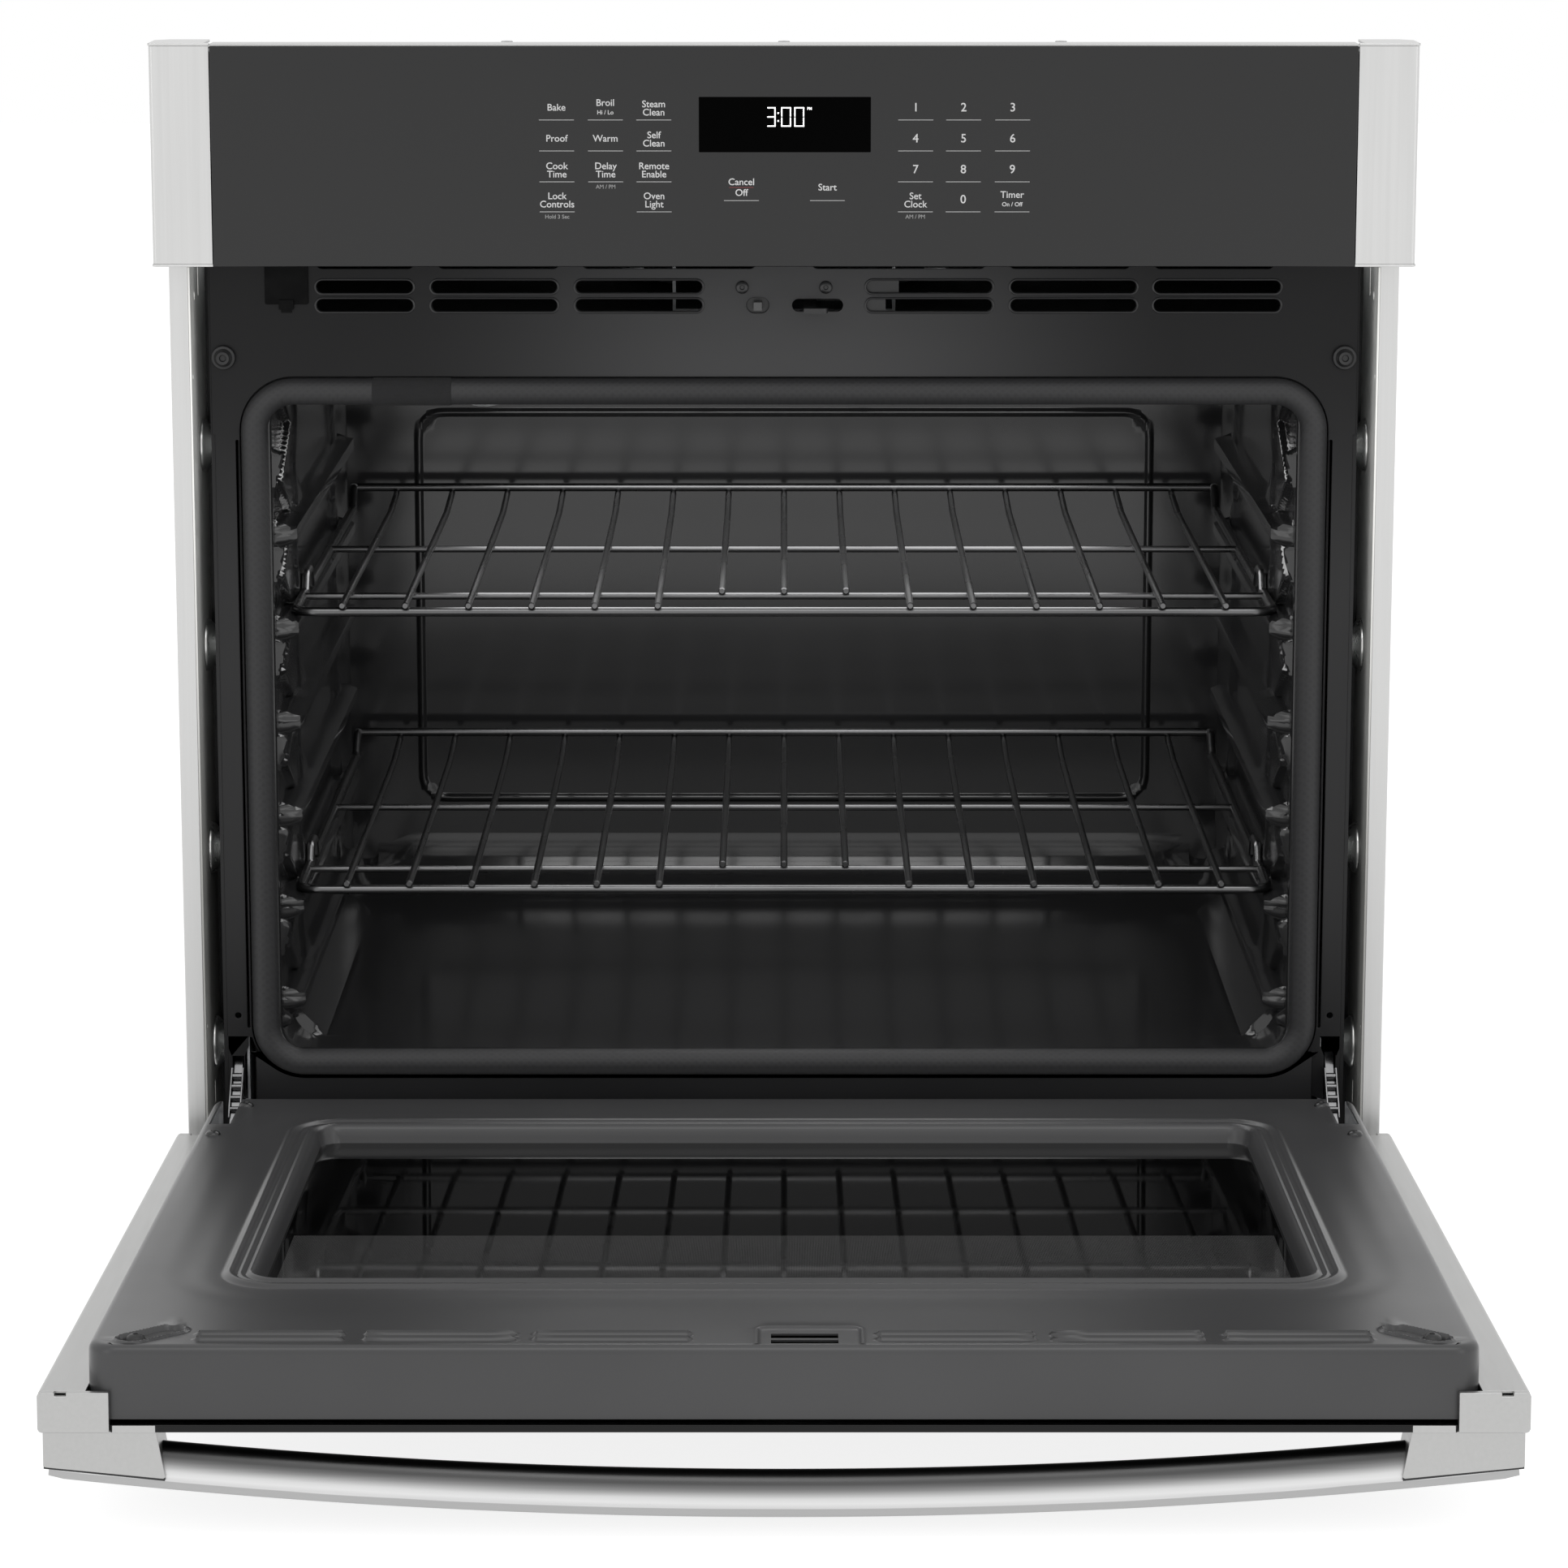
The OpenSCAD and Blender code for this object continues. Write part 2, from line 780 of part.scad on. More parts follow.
// Caps that close the ends of both side trims
module door_end_caps() {
    x0 = glass_x + 0.2;
    color("#dcdcdc") door_pose() both() {
        difference() {
            span([x0, door_front, door_top - 4.5], [half_w, door_front + trim_deep, door_top]);
            span([352, door_front + trim_deep - 2, door_top - 6],
                [357, door_front + trim_deep + 1, door_top + 1]);
        }
        span([x0, door_front, door_low], [half_w, door_front + glass_t - 0.5, door_low + 5]);
        span([liner_x + 0.2, door_front, door_low],
            [half_w, door_front + trim_deep, door_low + 5]);
    }
}

// Channel inside the door with the pin that the hinge arm turns on
module hinge_channel(side) {
    x0 = hinge_x - 7.5;
    x1 = hinge_x + 8;
    color("#9a9c9e") door_pose() on_side(side) {
        for (x = [x0, x1 - 2]) span([x, -37.8, liner_low + 4], [x + 2, door_back - sheet, 110]);
        span([x0, -37.8, 56], [x1, -36, 110]);
        rod_x(x0, x1, pivot_y, pivot_z, pin_r);
    }
}

module hinge_channel_left() {
    hinge_channel(-1);
}

module hinge_channel_right() {
    hinge_channel(1);
}

// Rubber plugs in the oval recesses of the inner panel
module door_plugs() {
    color("#161617") door_pose() both() {
        rod_y(plug_x, door_back - sheet - 3, door_back + 0.4, plug_z, 4.9);
        rod_y(plug_x, door_back - sheet - 3, door_back - sheet, plug_z, 7);
    }
}

module door_screws() {
    color("#303032") door_pose() both() {
        for (p = screw_places) {
            rod_y(p[0], door_back, door_back + 2.4, p[1], 4.2);
            rod_y(p[0], door_back - 9, door_back + eps, p[1], 1.9);
        }
    }
}

// ---- handle, drawn on the closed door ----

// How far the bow has fallen back from its middle at x
function bow(x) = bow_r - sqrt(bow_r * bow_r - x * x);

// Bar with a flat front and rounded top and bottom, swept round the bow
module handle_bar() {
    d = bar_d / 2;
    half_angle = asin(bar_end / bow_r);
    color("#d9dadb") door_pose() translate([0, bar_front + bow_r, handle_z])
        rotate([0, 0, 270 - half_angle])
            rotate_extrude(angle = 2 * half_angle, $fn = 360) translate([bow_r - d, 0])
                intersection() {
                    circle(d + 1);
                    translate([-d, -bar_h / 2]) square([bar_d, bar_h]);
                }
}

// Mount with a pocket that the end of the bar lies in
module handle_mount(side) {
    front = bar_front + mount_behind;
    back = bar_front + bar_d + 0.3;
    in = mount_in - 10;
    color("#dfdfdf") door_pose() on_side(side) {
        difference() {
            translate([0, 0, handle_z - mount_h / 2]) linear_extrude(mount_h)
                polygon([[mount_in + 4.5, door_front], [mount_out, door_front],
                    [mount_out, front + bow(mount_out)], [mount_in, front + bow(mount_in)]]);
            translate([0, 0, handle_z - bar_h / 2]) linear_extrude(bar_h)
                polygon([[in, bar_front - 5], [in, back + bow(in)],
                    [bar_end, back + bow(bar_end)], [bar_end, bar_front - 5]]);
        }
        span([318, door_front - eps, door_top - 6.8],
            [340, door_front + glass_t, door_top - 0.5]);
        for (z = [handle_z - 6, handle_z + 4])
            rod_y(328, door_front - eps, door_front + glass_t + 2, z, 2.4);
    }
}

module handle_mount_left() {
    handle_mount(-1);
}

module handle_mount_right() {
    handle_mount(1);
}

// ---- racks ----

// Wire rack: perimeter, two cross wires, a raised back rail and the rods
module rack(position) {
    z = rack_first + (position - 1) * rack_pitch;
    low = z - wire_drop;
    turn_r = 14;
    lip = 14;
    color("#8b8d90") {
        both() {
            rod_y(rack_x, rack_front + turn_r, rack_rear, low, wire_r);
            bend(rack_x - turn_r, rack_front + turn_r, low, turn_r, wire_r, -90);
            translate([rack_x, rack_rear, low]) cylinder(h = lip, r = wire_r);
            translate([rack_x, rack_rear, low]) sphere(wire_r);
            translate([rack_x, rack_rear, low + lip]) sphere(wire_r);
        }
        rod_x(-rack_x + turn_r, rack_x - turn_r, rack_front, low, wire_r);
        rod_x(-rack_x, rack_x, rack_rear, low + lip, wire_r);
        for (y = [108, 291, rack_rear - 6]) rod_x(-rack_x, rack_x, y, low + 0.5, rod_r);
        for (i = [0:rod_count - 1]) {
            short = abs(i - (rod_count - 1) / 2) < 1.5;
            rod_y((i - (rod_count - 1) / 2) * rod_pitch, short ? 103 : rack_front - 5,
                rack_rear - 3, z, rod_r);
        }
    }
}

module rack_upper() {
    rack(upper_position);
}

module rack_lower() {
    rack(lower_position);
}

cavity_shell();
rack_guides();
front_frame();
door_gasket();
gasket_sleeve();
insulation();
body_wrap();
chassis_back();
base_pan();
side_trim_left();
side_trim_right();
side_rail_left();
side_rail_right();
bottom_trim();
control_housing();
control_glass();
panel_cap_left();
panel_cap_right();
panel_top_strip();
display_module();
control_board();
latch_motor();
door_switch();
hinge_receiver_left();
hinge_receiver_right();
hinge_arm_left();
hinge_arm_right();
frame_bumpers();
frame_screws();
blower_housing();
blower_motor();
bake_element();
broil_element();
temperature_sensor();
lamp_socket();
lamp_bulb();
lamp_lens();
junction_box();
conduit_fitting();
door_liner();
window_frame();
inner_glass();
middle_glass();
outer_glass();
door_insulation();
door_trim_left();
door_trim_right();
door_end_caps();
hinge_channel_left();
hinge_channel_right();
door_plugs();
door_screws();
handle_bar();
handle_mount_left();
handle_mount_right();
rack_upper();
rack_lower();
latch_hook();
switch_plunger();
blower_rotor();
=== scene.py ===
"""Looks of a built-in wall oven with its door open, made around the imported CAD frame.

Lengths are in millimetres in the CAD frame and turn into metres only where a mesh is made.
X runs from left to right seen from the front, -Y is towards the user and Z is up.
Door pieces are drawn on the closed door and then swung open by SWING.
"""
import json
import math

import bmesh
import bpy
from mathutils import Matrix, Vector


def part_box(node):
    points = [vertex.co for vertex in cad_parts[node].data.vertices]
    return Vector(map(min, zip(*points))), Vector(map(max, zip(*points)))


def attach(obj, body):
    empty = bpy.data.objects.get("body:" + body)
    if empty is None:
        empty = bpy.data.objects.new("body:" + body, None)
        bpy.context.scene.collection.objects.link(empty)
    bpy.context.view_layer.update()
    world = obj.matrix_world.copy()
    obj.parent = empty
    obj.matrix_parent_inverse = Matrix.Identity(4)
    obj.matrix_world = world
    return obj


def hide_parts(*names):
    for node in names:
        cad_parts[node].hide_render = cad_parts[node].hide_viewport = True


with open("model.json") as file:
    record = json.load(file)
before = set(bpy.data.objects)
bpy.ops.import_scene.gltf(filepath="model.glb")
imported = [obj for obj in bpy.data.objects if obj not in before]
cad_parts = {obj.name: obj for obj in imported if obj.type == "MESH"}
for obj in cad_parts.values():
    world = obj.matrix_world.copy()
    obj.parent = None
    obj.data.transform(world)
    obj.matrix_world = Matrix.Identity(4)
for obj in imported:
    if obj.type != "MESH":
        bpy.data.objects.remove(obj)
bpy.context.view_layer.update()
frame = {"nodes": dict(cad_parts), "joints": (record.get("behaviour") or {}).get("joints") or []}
MM = 0.001


# ---------------------------------------------------------------- sizes from the frame

def node_box(name):
    """A CAD node's lowest and highest corners in millimetres."""
    lo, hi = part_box(name)
    return Vector(lo) / MM, Vector(hi) / MM


def joint_named(name):
    return next(j for j in frame["joints"] if j["name"] == name)


GLASS_LO, GLASS_HI = node_box("control_glass")
CAP_LO, CAP_HI = node_box("panel_cap_right")
TOP_LO, TOP_HI = node_box("panel_top_strip")
TRIM_LO, TRIM_HI = node_box("side_trim_right")
RAIL_LO, RAIL_HI = node_box("side_rail_right")
WRAP_LO, WRAP_HI = node_box("body_wrap")
BACK_LO, BACK_HI = node_box("chassis_back")
LOWER_HI = node_box("bottom_trim")[1]
CONDUIT_LO, CONDUIT_HI = node_box("conduit_fitting")
CONDUIT = (CONDUIT_LO + CONDUIT_HI) / 2
RACKS = {name: node_box(name) for name in ("rack_lower", "rack_upper")}

PIVOT = Vector(joint_named("door_hinge")["pos_m"]) / MM
OPEN_ANGLE = -math.radians(joint_named("door_hinge")["range_deg"][0])
SWING = (Matrix.Translation(PIVOT) @ Matrix.Rotation(OPEN_ANGLE, 4, "X")
         @ Matrix.Translation(-PIVOT))

# the closed door
DOOR_LOW, DOOR_TOP = 26.0, 588.0
DOOR_FRONT, DOOR_BACK = -42.0, 2.0
LINER_X, LINER_LOW, LINER_TOP = 353.7, 28.0, 583.5
WINDOW = (-281.0, 109.0, 281.0, 456.0)
WINDOW_TURN = 14
PANE_LEVEL = -7.0
HINGE_X = 342.5
HINGE_SLOT = (HINGE_X - 6, HINGE_X + 5.5)
SLOT_TOP = 99.0
HANDLE_Z = 571.0

# the front frame, seal and cavity
FRAME_Y, FRAME_BACK = 10.0, 12.0
GASKET_Y, GASKET_R, GASKET_BEND = 10.7, 8.3, 24.7
GASKET_X, GASKET_LOW, GASKET_TOP = 324.8, 88.0, 512.0
CAVITY_X, CAVITY_LOW, CAVITY_TOP, CAVITY_BACK = 317.0, 83.0, 520.0, 508.0
RIB_LOW, RIB_PITCH, RIB_DROP = 125.8, 59.5, 4.3
RIB_TOPS = [RIB_LOW + RIB_PITCH * i for i in range(6)]
SIDES = (("left", -1), ("right", 1))


# ---------------------------------------------------------------- camera

def make_camera():
    data = bpy.data.cameras.new("camera")
    data.lens = 108.9
    data.shift_y = -0.11
    data.clip_start, data.clip_end = 0.05, 60
    camera = bpy.data.objects.new("camera", data)
    camera.location = (0, -2.871, 0.892)
    camera.rotation_euler = (math.radians(90 - 10.17), 0, 0)
    bpy.context.collection.objects.link(camera)
    bpy.context.scene.camera = camera
    bpy.context.scene.view_settings.view_transform = "Standard"


make_camera()


# ---------------------------------------------------------------- materials

def material(name, color, metallic=0.0, rough=0.4, **more):
    """A Principled material. Constants go on the shader's own sockets."""
    m = bpy.data.materials.new(name)
    m.use_nodes = True
    sockets = m.node_tree.nodes["Principled BSDF"].inputs
    sockets["Base Color"].default_value = (*color, 1)
    sockets["Metallic"].default_value = metallic
    sockets["Roughness"].default_value = rough
    for key, value in more.items():
        sockets[key.replace("_", " ")].default_value = value
    return m


def add(m, kind, **settings):
    node = m.node_tree.nodes.new(kind)
    for key, value in settings.items():
        setattr(node, key, value)
    return node


def link(m, a, b):
    m.node_tree.links.new(a, b)


def shader(m):
    return m.node_tree.nodes["Principled BSDF"].inputs


def coords(m, stretch=(1, 1, 1)):
    """Object coordinates, stretched along each axis."""
    tex = add(m, "ShaderNodeTexCoord")
    mapping = add(m, "ShaderNodeMapping")
    mapping.inputs["Scale"].default_value = stretch
    link(m, tex.outputs["Object"], mapping.inputs["Vector"])
    return mapping.outputs["Vector"]


def axes(m):
    """Object coordinates as separate "X", "Y" and "Z" sockets."""
    split = add(m, "ShaderNodeSeparateXYZ")
    link(m, add(m, "ShaderNodeTexCoord").outputs["Object"], split.inputs["Vector"])
    return split.outputs


def noise(m, scale, detail=3.0, stretch=(1, 1, 1), distortion=0.0):
    node = add(m, "ShaderNodeTexNoise")
    node.inputs["Scale"].default_value = scale
    node.inputs["Detail"].default_value = detail
    node.inputs["Distortion"].default_value = distortion
    link(m, coords(m, stretch), node.inputs["Vector"])
    return node.outputs["Fac"]


def math_node(m, operation, a, b):
    """One math step. a and b are sockets or numbers."""
    node = add(m, "ShaderNodeMath", operation=operation)
    for place, value in enumerate((a, b)):
        if isinstance(value, (int, float)):
            node.inputs[place].default_value = value
        else:
            link(m, value, node.inputs[place])
    return node.outputs[0]


def spread(m, fac, low, high, in_low=0.3, in_high=0.7, curve="LINEAR"):
    """Maps a value to the range low to high."""
    node = add(m, "ShaderNodeMapRange", interpolation_type=curve)
    node.inputs["From Min"].default_value = in_low
    node.inputs["From Max"].default_value = in_high
    node.inputs["To Min"].default_value = low
    node.inputs["To Max"].default_value = high
    link(m, fac, node.inputs["Value"])
    return node.outputs["Result"]


def tint(m, fac, a, b):
    """Base colour that drifts from a to b with fac."""
    node = add(m, "ShaderNodeMix", data_type="RGBA")
    node.inputs[6].default_value = (*a, 1)
    node.inputs[7].default_value = (*b, 1)
    link(m, fac, node.inputs[0])
    link(m, node.outputs[2], shader(m)["Base Color"])


def scaled(color, factor):
    return tuple(c * factor for c in color)


def bump(m, height, strength, distance):
    node = add(m, "ShaderNodeBump")
    node.inputs["Strength"].default_value = strength
    node.inputs["Distance"].default_value = distance
    link(m, height, node.inputs["Height"])
    link(m, node.outputs["Normal"], shader(m)["Normal"])


def vary_roughness(m, fac, rough, low=0.84, high=1.18):
    link(m, spread(m, fac, rough * low, rough * high), shader(m)["Roughness"])


def enamel(name, color, rough=0.3, lighter=1.3, ior_level=0.5):
    """Porcelain enamel: glassy, with faint orange peel, clouds and fine specks."""
    m = material(name, color, rough=rough, Specular_IOR_Level=ior_level)
    specks = noise(m, 900, 2)
    clouds = noise(m, 6, 3)
    mixed = math_node(m, "ADD", math_node(m, "MULTIPLY", specks, 0.15),
                      math_node(m, "MULTIPLY", clouds, 0.85))
    tint(m, spread(m, mixed, 0, 1), color, scaled(color, lighter))
    vary_roughness(m, noise(m, 8, 3), rough, 0.92, 1.08)
    bump(m, noise(m, 240, 2), 0.02, 0.0003)
    return m


def frame_enamel_painted_highlight(name, edge, middle, rough):
    """Satin enamel on the front frame, with a painted highlight in its colour: lighter mid-way across
    and in a band half-way up the sides.
    """
    m = enamel(name, edge, rough, ior_level=0.17)
    place = axes(m)
    across = math_node(m, "ABSOLUTE", place["X"], 0)
    # Painted highlight: the colour lightens towards the middle and in a band half-way up, where a soft
    # reflection would lie.
    painted_highlight_across = spread(m, across, 1.0, 0.0, 0.0, 0.27, "SMOOTHERSTEP")
    height = math_node(m, "ABSOLUTE", math_node(m, "SUBTRACT", place["Z"], 0.3), 0)
    painted_highlight_band = spread(m, height, 0.42, 0.0, 0.08, 0.24, "SMOOTHSTEP")
    cloud = math_node(m, "ADD", math_node(m, "MULTIPLY", noise(m, 7, 3), 0.12), -0.06)
    painted_light = math_node(m, "MAXIMUM", painted_highlight_across, painted_highlight_band)
    tint(m, math_node(m, "ADD", painted_light, cloud), edge, middle)
    return m


def brushed(name, color, along, rough=0.28, grain=0.05):
    """Brushed steel with fine lines along one axis and faint broad smears."""
    stretch = [420.0, 420.0, 420.0]
    stretch["XYZ".index(along)] = 5.0
    m = material(name, color, 1.0, rough)
    lines = noise(m, 1.0, 3, stretch)
    smears = noise(m, 4, 3)
    mixed = math_node(m, "ADD", math_node(m, "MULTIPLY", lines, 0.6),
                      math_node(m, "MULTIPLY", smears, 0.4))
    tint(m, spread(m, mixed, 0, 1), scaled(color, 0.92), color)
    vary_roughness(m, mixed, rough)
    bump(m, lines, grain, 0.0002)
    return m


def drawn_wire(name, color, rough):
    """Bright drawn wire with slow drifts in tone and gloss."""
    m = material(name, color, 1.0, rough)
    drift = noise(m, 9, 2)
    tint(m, spread(m, drift, 0, 1), scaled(color, 0.8), scaled(color, 1.1))
    vary_roughness(m, drift, rough)
    return m


def galvanised(name, color, rough=0.42, scale=95, metallic=0.85):
    """Zinc-coated sheet with soft spangle."""
    m = material(name, color, metallic, rough)
    cells = add(m, "ShaderNodeTexVoronoi")
    cells.inputs["Scale"].default_value = scale
    link(m, coords(m), cells.inputs["Vector"])
    channels = add(m, "ShaderNodeSeparateColor")
    link(m, cells.outputs["Color"], channels.inputs["Color"])
    tint(m, channels.outputs["Red"], scaled(color, 0.84), color)
    link(m, spread(m, channels.outputs["Green"], rough * 0.85, rough * 1.15, 0, 1),
         shader(m)["Roughness"])
    bump(m, noise(m, 340, 2), 0.05, 0.0002)
    return m


def rail_zinc_painted_top_light(name, low, high):
    """Dull zinc on the side rails, with painted light that lightens its colour towards the top."""
    m = galvanised(name, low, 0.5, 60, 0.25)
    # Painted light: the colour brightens with height where the panel above shades the rail.
    painted_light = spread(m, axes(m)["Z"], 0, 1, 0.2, 0.46)
    tint(m, math_node(m, "MULTIPLY", painted_light, spread(m, noise(m, 14, 3), 0.85, 1.0)), low, high)
    return m


def plastic(name, color, rough=0.45, ior_level=0.5):
    """Moulded plastic or rubber with a fine texture."""
    m = material(name, color, rough=rough, Specular_IOR_Level=ior_level)
    tint(m, noise(m, 30, 4), scaled(color, 0.85), scaled(color, 1.15))
    vary_roughness(m, noise(m, 60, 4), rough)
    bump(m, noise(m, 900, 2), 0.12, 0.0003)
    return m


def fibre(name, color, scale=160):
    m = material(name, color, rough=0.95)
    strands = noise(m, scale, 6, (1, 1, 3), 1.5)
    tint(m, spread(m, strands, 0, 1), scaled(color, 0.6), color)
    bump(m, strands, 0.6, 0.002)
    return m


def braided(name, color):
    """Tightly woven tube: two crossing sets of fine strands."""
    m = material(name, color, rough=0.62)
    sets = []
    for turn in (1, -1):
        wave = add(m, "ShaderNodeTexWave", wave_type="BANDS", bands_direction="DIAGONAL")
        wave.inputs["Scale"].default_value = 120
        wave.inputs["Distortion"].default_value = 0.6
        link(m, coords(m, (turn, 1, 1)), wave.inputs["Vector"])
        sets.append(wave.outputs["Fac"])
    strands = math_node(m, "MAXIMUM", sets[0], sets[1])
    tint(m, strands, scaled(color, 0.8), scaled(color, 1.1))
    bump(m, strands, 0.14, 0.0006)
    return m


def gloss(name, color, rough=0.05, **more):
    """Glass-like surface with faint smears in its gloss."""
    m = material(name, color, rough=rough, **more)
    tint(m, noise(m, 7, 3), color, scaled(color, 1.25))
    vary_roughness(m, noise(m, 9, 4), rough, 0.8, 1.3)
    return m


def dotted_glass(name, color, dot, pitch, near_y, far_y, half_x):
    """Dark glass with a printed band of fine dots in staggered rows, as it lies on the open door."""
    m = gloss(name, color, 0.03)
    place = axes(m)
    x, y = place["X"], place["Y"]
    turned = (math_node(m, "ADD", x, y), math_node(m, "SUBTRACT", x, y))
    squares = []
    for value in turned:
        tile = math_node(m, "FRACT", math_node(m, "MULTIPLY", value, 1 / (pitch * MM)), 0)
        off = math_node(m, "ABSOLUTE", math_node(m, "SUBTRACT", tile, 0.5), 0)
        squares.append(math_node(m, "POWER", off, 2))
    inside = math_node(m, "LESS_THAN", math_node(m, "ADD", *squares), 0.085)
    band = math_node(m, "MULTIPLY", math_node(m, "LESS_THAN", y, far_y * MM),
                     math_node(m, "GREATER_THAN", y, near_y * MM))
    wide = math_node(m, "LESS_THAN", math_node(m, "ABSOLUTE", x, 0), half_x * MM)
    mask = math_node(m, "MULTIPLY", math_node(m, "MULTIPLY", band, wide), inside)
    tint(m, mask, color, dot)
    return m


MAT = {
    "enamel": enamel("black_enamel", (0.010, 0.010, 0.0105), 0.3),
    # the frame's second colour is its painted highlight
    "frame": frame_enamel_painted_highlight("frame_enamel_painted_highlight", (0.008, 0.008, 0.0084), (0.05, 0.05, 0.051), 0.34),
    "matt": plastic("matt_black", (0.003, 0.003, 0.0031), 0.7, 0.12),
    "liner": enamel("door_enamel", (0.031, 0.031, 0.032), 0.33),
    "cavity": enamel("cavity_enamel", (0.0125, 0.0125, 0.0129), 0.13, ior_level=0.6),
    "steel_x": brushed("stainless_along_x", (0.50, 0.50, 0.495), "X", 0.3),
    "steel_y": brushed("stainless_along_y", (0.47, 0.47, 0.465), "Y", 0.34),
    "steel_z": brushed("stainless_along_z", (0.62, 0.62, 0.615), "Z", 0.34),
    "steel_door": brushed("stainless_door_trim", (0.47, 0.47, 0.465), "Y", 0.34),
    "zinc": galvanised("galvanised_sheet", (0.42, 0.43, 0.44)),
    # the rail's upper colour is painted light
    "rail": rail_zinc_painted_top_light("rail_zinc_painted_top_light", (0.34, 0.34, 0.325), (0.95, 0.95, 0.92)),
    "dome": brushed("dome_steel", (0.92, 0.92, 0.9), "Z", 0.3, 0.02),
    "panel": gloss("panel_glass", (0.0032, 0.0032, 0.0034), 0.16),
    "display": gloss("display_window", (0.0002, 0.0002, 0.0002), 0.06, Specular_IOR_Level=0.02),
    "print": plastic("panel_print", (0.52, 0.52, 0.52), 0.6),
    "print_soft": plastic("panel_print_soft", (0.22, 0.22, 0.22), 0.6),
    "print_line": plastic("panel_print_line", (0.34, 0.34, 0.34), 0.6),
    "print_red": plastic("panel_print_red", (0.2, 0.03, 0.03), 0.6),
    "digits": gloss("display_digits", (0.75, 0.75, 0.75), 0.4,
                    Emission_Color=(1, 1, 1, 1), Emission_Strength=1.0),
    "braid": braided("woven_seal", (0.016, 0.016, 0.017)),
    "sleeve": fibre("sleeve_weave", (0.016, 0.016, 0.017), 700),
    "wool": fibre("black_faced_wool", (0.020, 0.019, 0.018)),
    "rubber": plastic("black_rubber", (0.009, 0.009, 0.0095), 0.5),
    "plastic": plastic("black_plastic", (0.012, 0.012, 0.0125), 0.4),
    "white": plastic("plunger_plastic", (0.07, 0.07, 0.07), 0.4),
    "wire": drawn_wire("rack_wire", (0.16, 0.16, 0.162), 0.28),
    "hinge": brushed("hinge_steel", (0.34, 0.34, 0.345), "Z", 0.2),
    "links": drawn_wire("link_steel", (0.2, 0.2, 0.203), 0.24),
    "screw": enamel("black_screw", (0.012, 0.012, 0.0125), 0.28),
    "board": plastic("circuit_board", (0.02, 0.13, 0.05), 0.4),
    "motor": galvanised("cast_motor", (0.36, 0.37, 0.38), 0.5),
    "sheath": plastic("element_sheath", (0.03, 0.03, 0.032), 0.5),
    "plated": brushed("plated_steel", (0.5, 0.5, 0.5), "Y", 0.22),
    "porcelain": plastic("socket_ceramic", (0.75, 0.72, 0.65), 0.7),
    "bulb": gloss("bulb_glass", (0.95, 0.94, 0.9), 0.05, Transmission_Weight=0.9),
    "lens": gloss("lens_glass", (0.9, 0.94, 0.95), 0.12, Transmission_Weight=0.85),
    "window": dotted_glass("window_glass", (0.0006, 0.0006, 0.00065), (0.12, 0.12, 0.12),
                           1.3, -452.0, -322.0, 274.0),
    "glass": gloss("door_glass", (0.002, 0.002, 0.0021), 0.04, Specular_IOR_Level=0.25),
}

# CAD nodes that stay as they are, by the material that they get
NODE_LOOKS = {
    "zinc": ("base_pan", "control_housing", "window_frame", "blower_housing", "junction_box",
             "hinge_channel_left", "hinge_channel_right", "hinge_receiver_left",
             "hinge_receiver_right"),
    "wool": ("insulation", "door_insulation"),
    "display": ("display_module",),
    "board": ("control_board",),
    "plastic": ("door_switch", "latch_motor"),
    "screw": ("latch_hook",),
    "motor": ("blower_motor", "blower_rotor"),
    "sheath": ("bake_element", "broil_element"),
    "plated": ("temperature_sensor",),
    "porcelain": ("lamp_socket",),
    "bulb": ("lamp_bulb",),
    "lens": ("lamp_lens",),
    "glass": ("middle_glass",),
    "white": ("switch_plunger",),
}
for look, names in NODE_LOOKS.items():
    for name in names:
        for place in frame["nodes"][name].material_slots:
            place.material = MAT[look]


# ---------------------------------------------------------------- parts: (points, faces) in mm

def joined(parts):
    """Several parts as one."""
    verts, faces = [], []
    for more_verts, more_faces in parts:
        n = len(verts)
        verts += [Vector(v) for v in more_verts]
        faces += [tuple(n + i for i in f) for f in more_faces]
    return verts, faces


def mirrored(part):
    return [Vector((-v[0], v[1], v[2])) for v in part[0]], part[1]


def both(part):
    """A part and its mirror image across the middle of the oven."""
    return joined([part, mirrored(part)])


def on_side(part, side):
    return part if side > 0 else mirrored(part)


def box(lo, hi):
    verts = [(x, y, z) for x in (lo[0], hi[0]) for y in (lo[1], hi[1]) for z in (lo[2], hi[2])]
    faces = [(0, 1, 3, 2), (4, 6, 7, 5), (0, 4, 5, 1), (2, 3, 7, 6), (0, 2, 6, 4), (1, 5, 7, 3)]
    return verts, faces


def on_axis(u, v, w, axis):
    """A point from its place (u, v) in a plane and its height w along the axis across it."""
    return {"X": (w, u, v), "Y": (u, w, v), "Z": (u, v, w)}[axis]


def prism(outline, lo, hi, axis):
    """An outline pushed along an axis. Its points are (y, z), (x, z) or (x, y)."""
    n = len(outline)
    verts = [on_axis(u, v, w, axis) for w in (lo, hi) for u, v in outline]
    faces = [tuple(range(n)), tuple(range(n, 2 * n))]
    faces += [(k, (k + 1) % n, n + (k + 1) % n, n + k) for k in range(n)]
    return verts, faces


